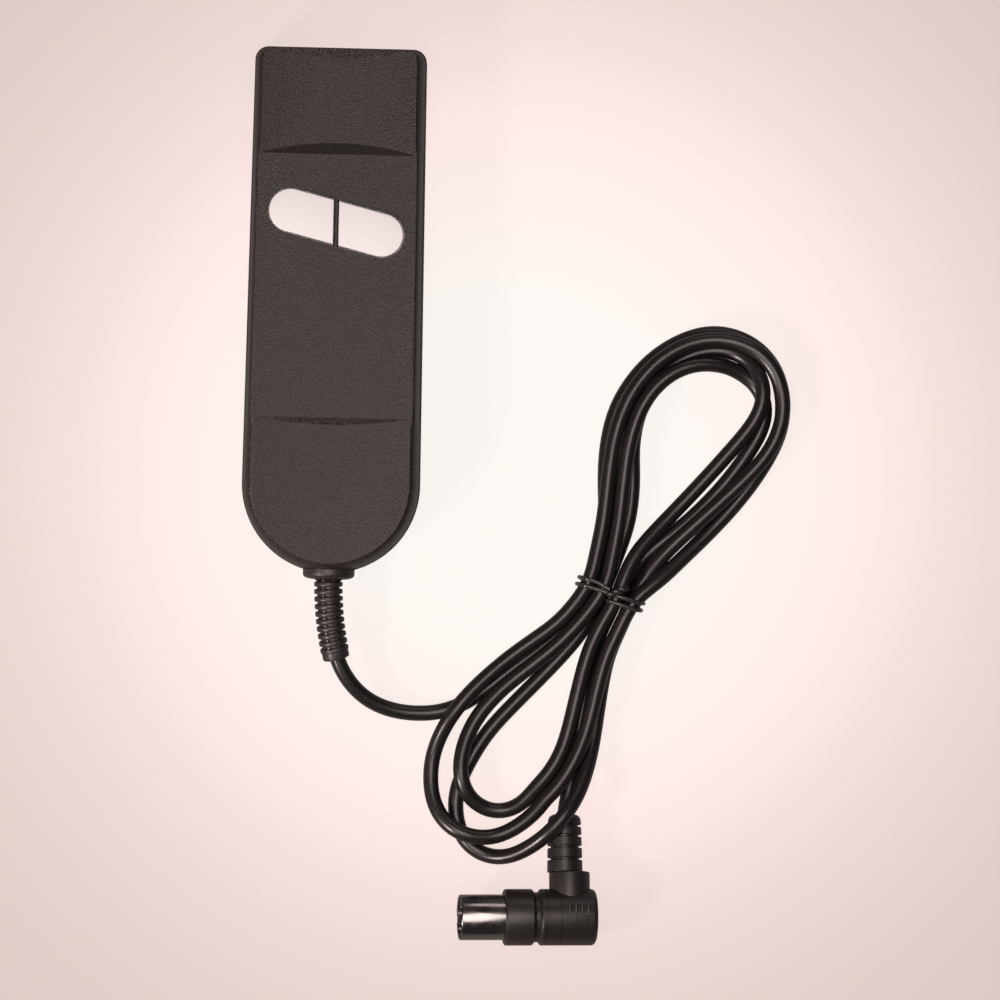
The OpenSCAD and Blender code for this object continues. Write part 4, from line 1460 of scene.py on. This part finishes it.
@dataclass
class Studio:
    """Pale table, soft lights and the camera straight above."""

    aim: tuple[float, float] = (0.0491, -0.0537)
    height: float = 2.2
    turn: float = 1.39
    seen_width: float = 0.2912
    floor_size: float = 6.0
    table_glow: float = 0.3
    table_colour: Point = (0.08, 0.075, 0.075)
    # Painted pool of light on the table: its radius in metres, and its colours from the edge (0)
    # inwards, palest and whitest under the object.
    painted_light_pool_radius: float = 0.24
    painted_light_pool: tuple[tuple[float, Point], ...] = (
        (0.0, (0.61, 0.505, 0.48)), (0.33, (0.92, 0.765, 0.735)), (0.62, (0.90, 0.865, 0.83)))
    warm: Point = (1.0, 0.87, 0.84)
    room_glow: float = 0.07
    lamps: tuple[Lamp, ...] = (
        Lamp("overhead", (0.0, -0.12, 1.0), (0.5, 0.7), 5.9),
        Lamp("low_left", (-0.62, -0.55, 0.62), (0.16, 0.16), 9.0),
        Lamp("far", (0.25, 1.0, 0.5), (0.8, 0.3), 1.5))

    def camera(self) -> None:
        """Adds the camera."""
        data = bpy.data.cameras.new("camera")
        data.sensor_width = 36.0
        data.lens = data.sensor_width * self.height / self.seen_width
        camera = bpy.data.objects.new("camera", data)
        camera.location = (*self.aim, self.height)
        camera.rotation_euler = (0, 0, math.radians(self.turn))
        bpy.context.scene.collection.objects.link(camera)
        bpy.context.scene.camera = camera

    def table(self) -> None:
        """Adds the pale table, with a painted pool of light that is brightest under the object."""
        shape = bmesh.new()
        bmesh.ops.create_grid(shape, x_segments=1, y_segments=1, size=self.floor_size / 2)
        table = holder(shape, "table")
        dressing = Dressing("table")
        dressing.set(Roughness=0.9, Specular_IOR_Level=0.1)
        nodes, links = dressing.tree.nodes, dressing.tree.links
        mapping = nodes.new("ShaderNodeMapping")
        mapping.vector_type = "TEXTURE"
        mapping.inputs["Location"].default_value = (self.aim[0] + 0.005, self.aim[1] + 0.01, 0)
        mapping.inputs["Scale"].default_value = (self.painted_light_pool_radius,) * 3
        links.new(dressing.place.outputs["Object"], mapping.inputs["Vector"])
        # Painted pool of light: the table's glow is whitest under the object and falls off to a
        # darker pink towards its edge.
        ball = nodes.new("ShaderNodeTexGradient")
        ball.gradient_type = "QUADRATIC_SPHERE"
        links.new(mapping.outputs["Vector"], ball.inputs["Vector"])
        ramp = nodes.new("ShaderNodeValToRGB")
        for at, colour in self.painted_light_pool:
            knot = ramp.color_ramp.elements[0] if at == 0 else ramp.color_ramp.elements.new(at)
            knot.color = (*colour, 1)
        ramp.color_ramp.elements.remove(ramp.color_ramp.elements[-1])
        links.new(ball.outputs["Fac"], ramp.inputs["Fac"])
        links.new(ramp.outputs["Color"], dressing.shader.inputs["Emission Color"])
        seen = nodes.new("ShaderNodeLightPath")
        glow = nodes.new("ShaderNodeMapRange")
        glow.inputs["To Min"].default_value = self.table_glow
        links.new(seen.outputs["Is Camera Ray"], glow.inputs["Value"])
        links.new(glow.outputs["Result"], dressing.shader.inputs["Emission Strength"])
        dressing.set(Base_Color=(*self.table_colour, 1))
        table.data.materials.append(dressing.material)

    def light(self, lamp: Lamp) -> None:
        """Adds a soft box that faces the object.

        Args:
            lamp: The soft box.
        """
        data = bpy.data.lights.new(lamp.name, "AREA")
        data.shape = "RECTANGLE"
        data.size, data.size_y = lamp.size
        data.energy = lamp.power
        data.color = self.warm
        light = bpy.data.objects.new(lamp.name, data)
        light.location = lamp.place
        aim = Vector((*self.aim, 0)) - Vector(lamp.place)
        light.rotation_euler = aim.to_track_quat("-Z", "Y").to_euler()
        bpy.context.scene.collection.objects.link(light)

    def build(self) -> None:
        """Sets the whole studio up."""
        self.table()
        world = bpy.data.worlds.new("room")
        world.use_nodes = True
        back = world.node_tree.nodes["Background"]
        back.inputs["Color"].default_value = (*self.warm, 1)
        back.inputs["Strength"].default_value = self.room_glow
        bpy.context.scene.world = world
        for lamp in self.lamps:
            self.light(lamp)
        bpy.context.scene.view_settings.view_transform = "Standard"


def dress_inside() -> None:
    """Gives every CAD node that still shows its own finish."""
    slots = {part["node"]: part["material_slot"] for part in frame["record"]["subparts"]}
    for name, node in frame["nodes"].items():
        if not node.hide_render:
            node.data.materials.clear()
            node.data.materials.append(WARDROBE.get(slots[name]))
            log.info("%s keeps its form and wears %s", name, slots[name])


def main() -> None:
    """Builds the object and its studio in order."""
    logging.basicConfig(level=logging.INFO, format="%(name)s: %(message)s")
    studio = Studio()
    studio.camera()
    relief, plug = StrainRelief(), Plug()
    on_cord = [relief.build(), TwistTie().build(), plug.housing(), plug.boot(), plug.shield(),
               plug.pins(), frame["nodes"]["plug_insert"]]
    FreeCord().build(relief, plug, on_cord)
    case, buttons = Case(), Buttons()
    case.back()
    case.front(buttons.wells(case.seam_z, case.ceiling_flat, case.face_z + 3))
    buttons.build(Side.LEFT, "button_left", Body.LEFT_BUTTON)
    buttons.build(Side.RIGHT, "button_right", Body.RIGHT_BUTTON)
    buttons.spring("spring_left", Body.LEFT_BUTTON)
    buttons.spring("spring_right", Body.RIGHT_BUTTON)
    dress_inside()
    studio.build()
    bpy.context.view_layer.update()


if __name__ == "__main__":
    main()
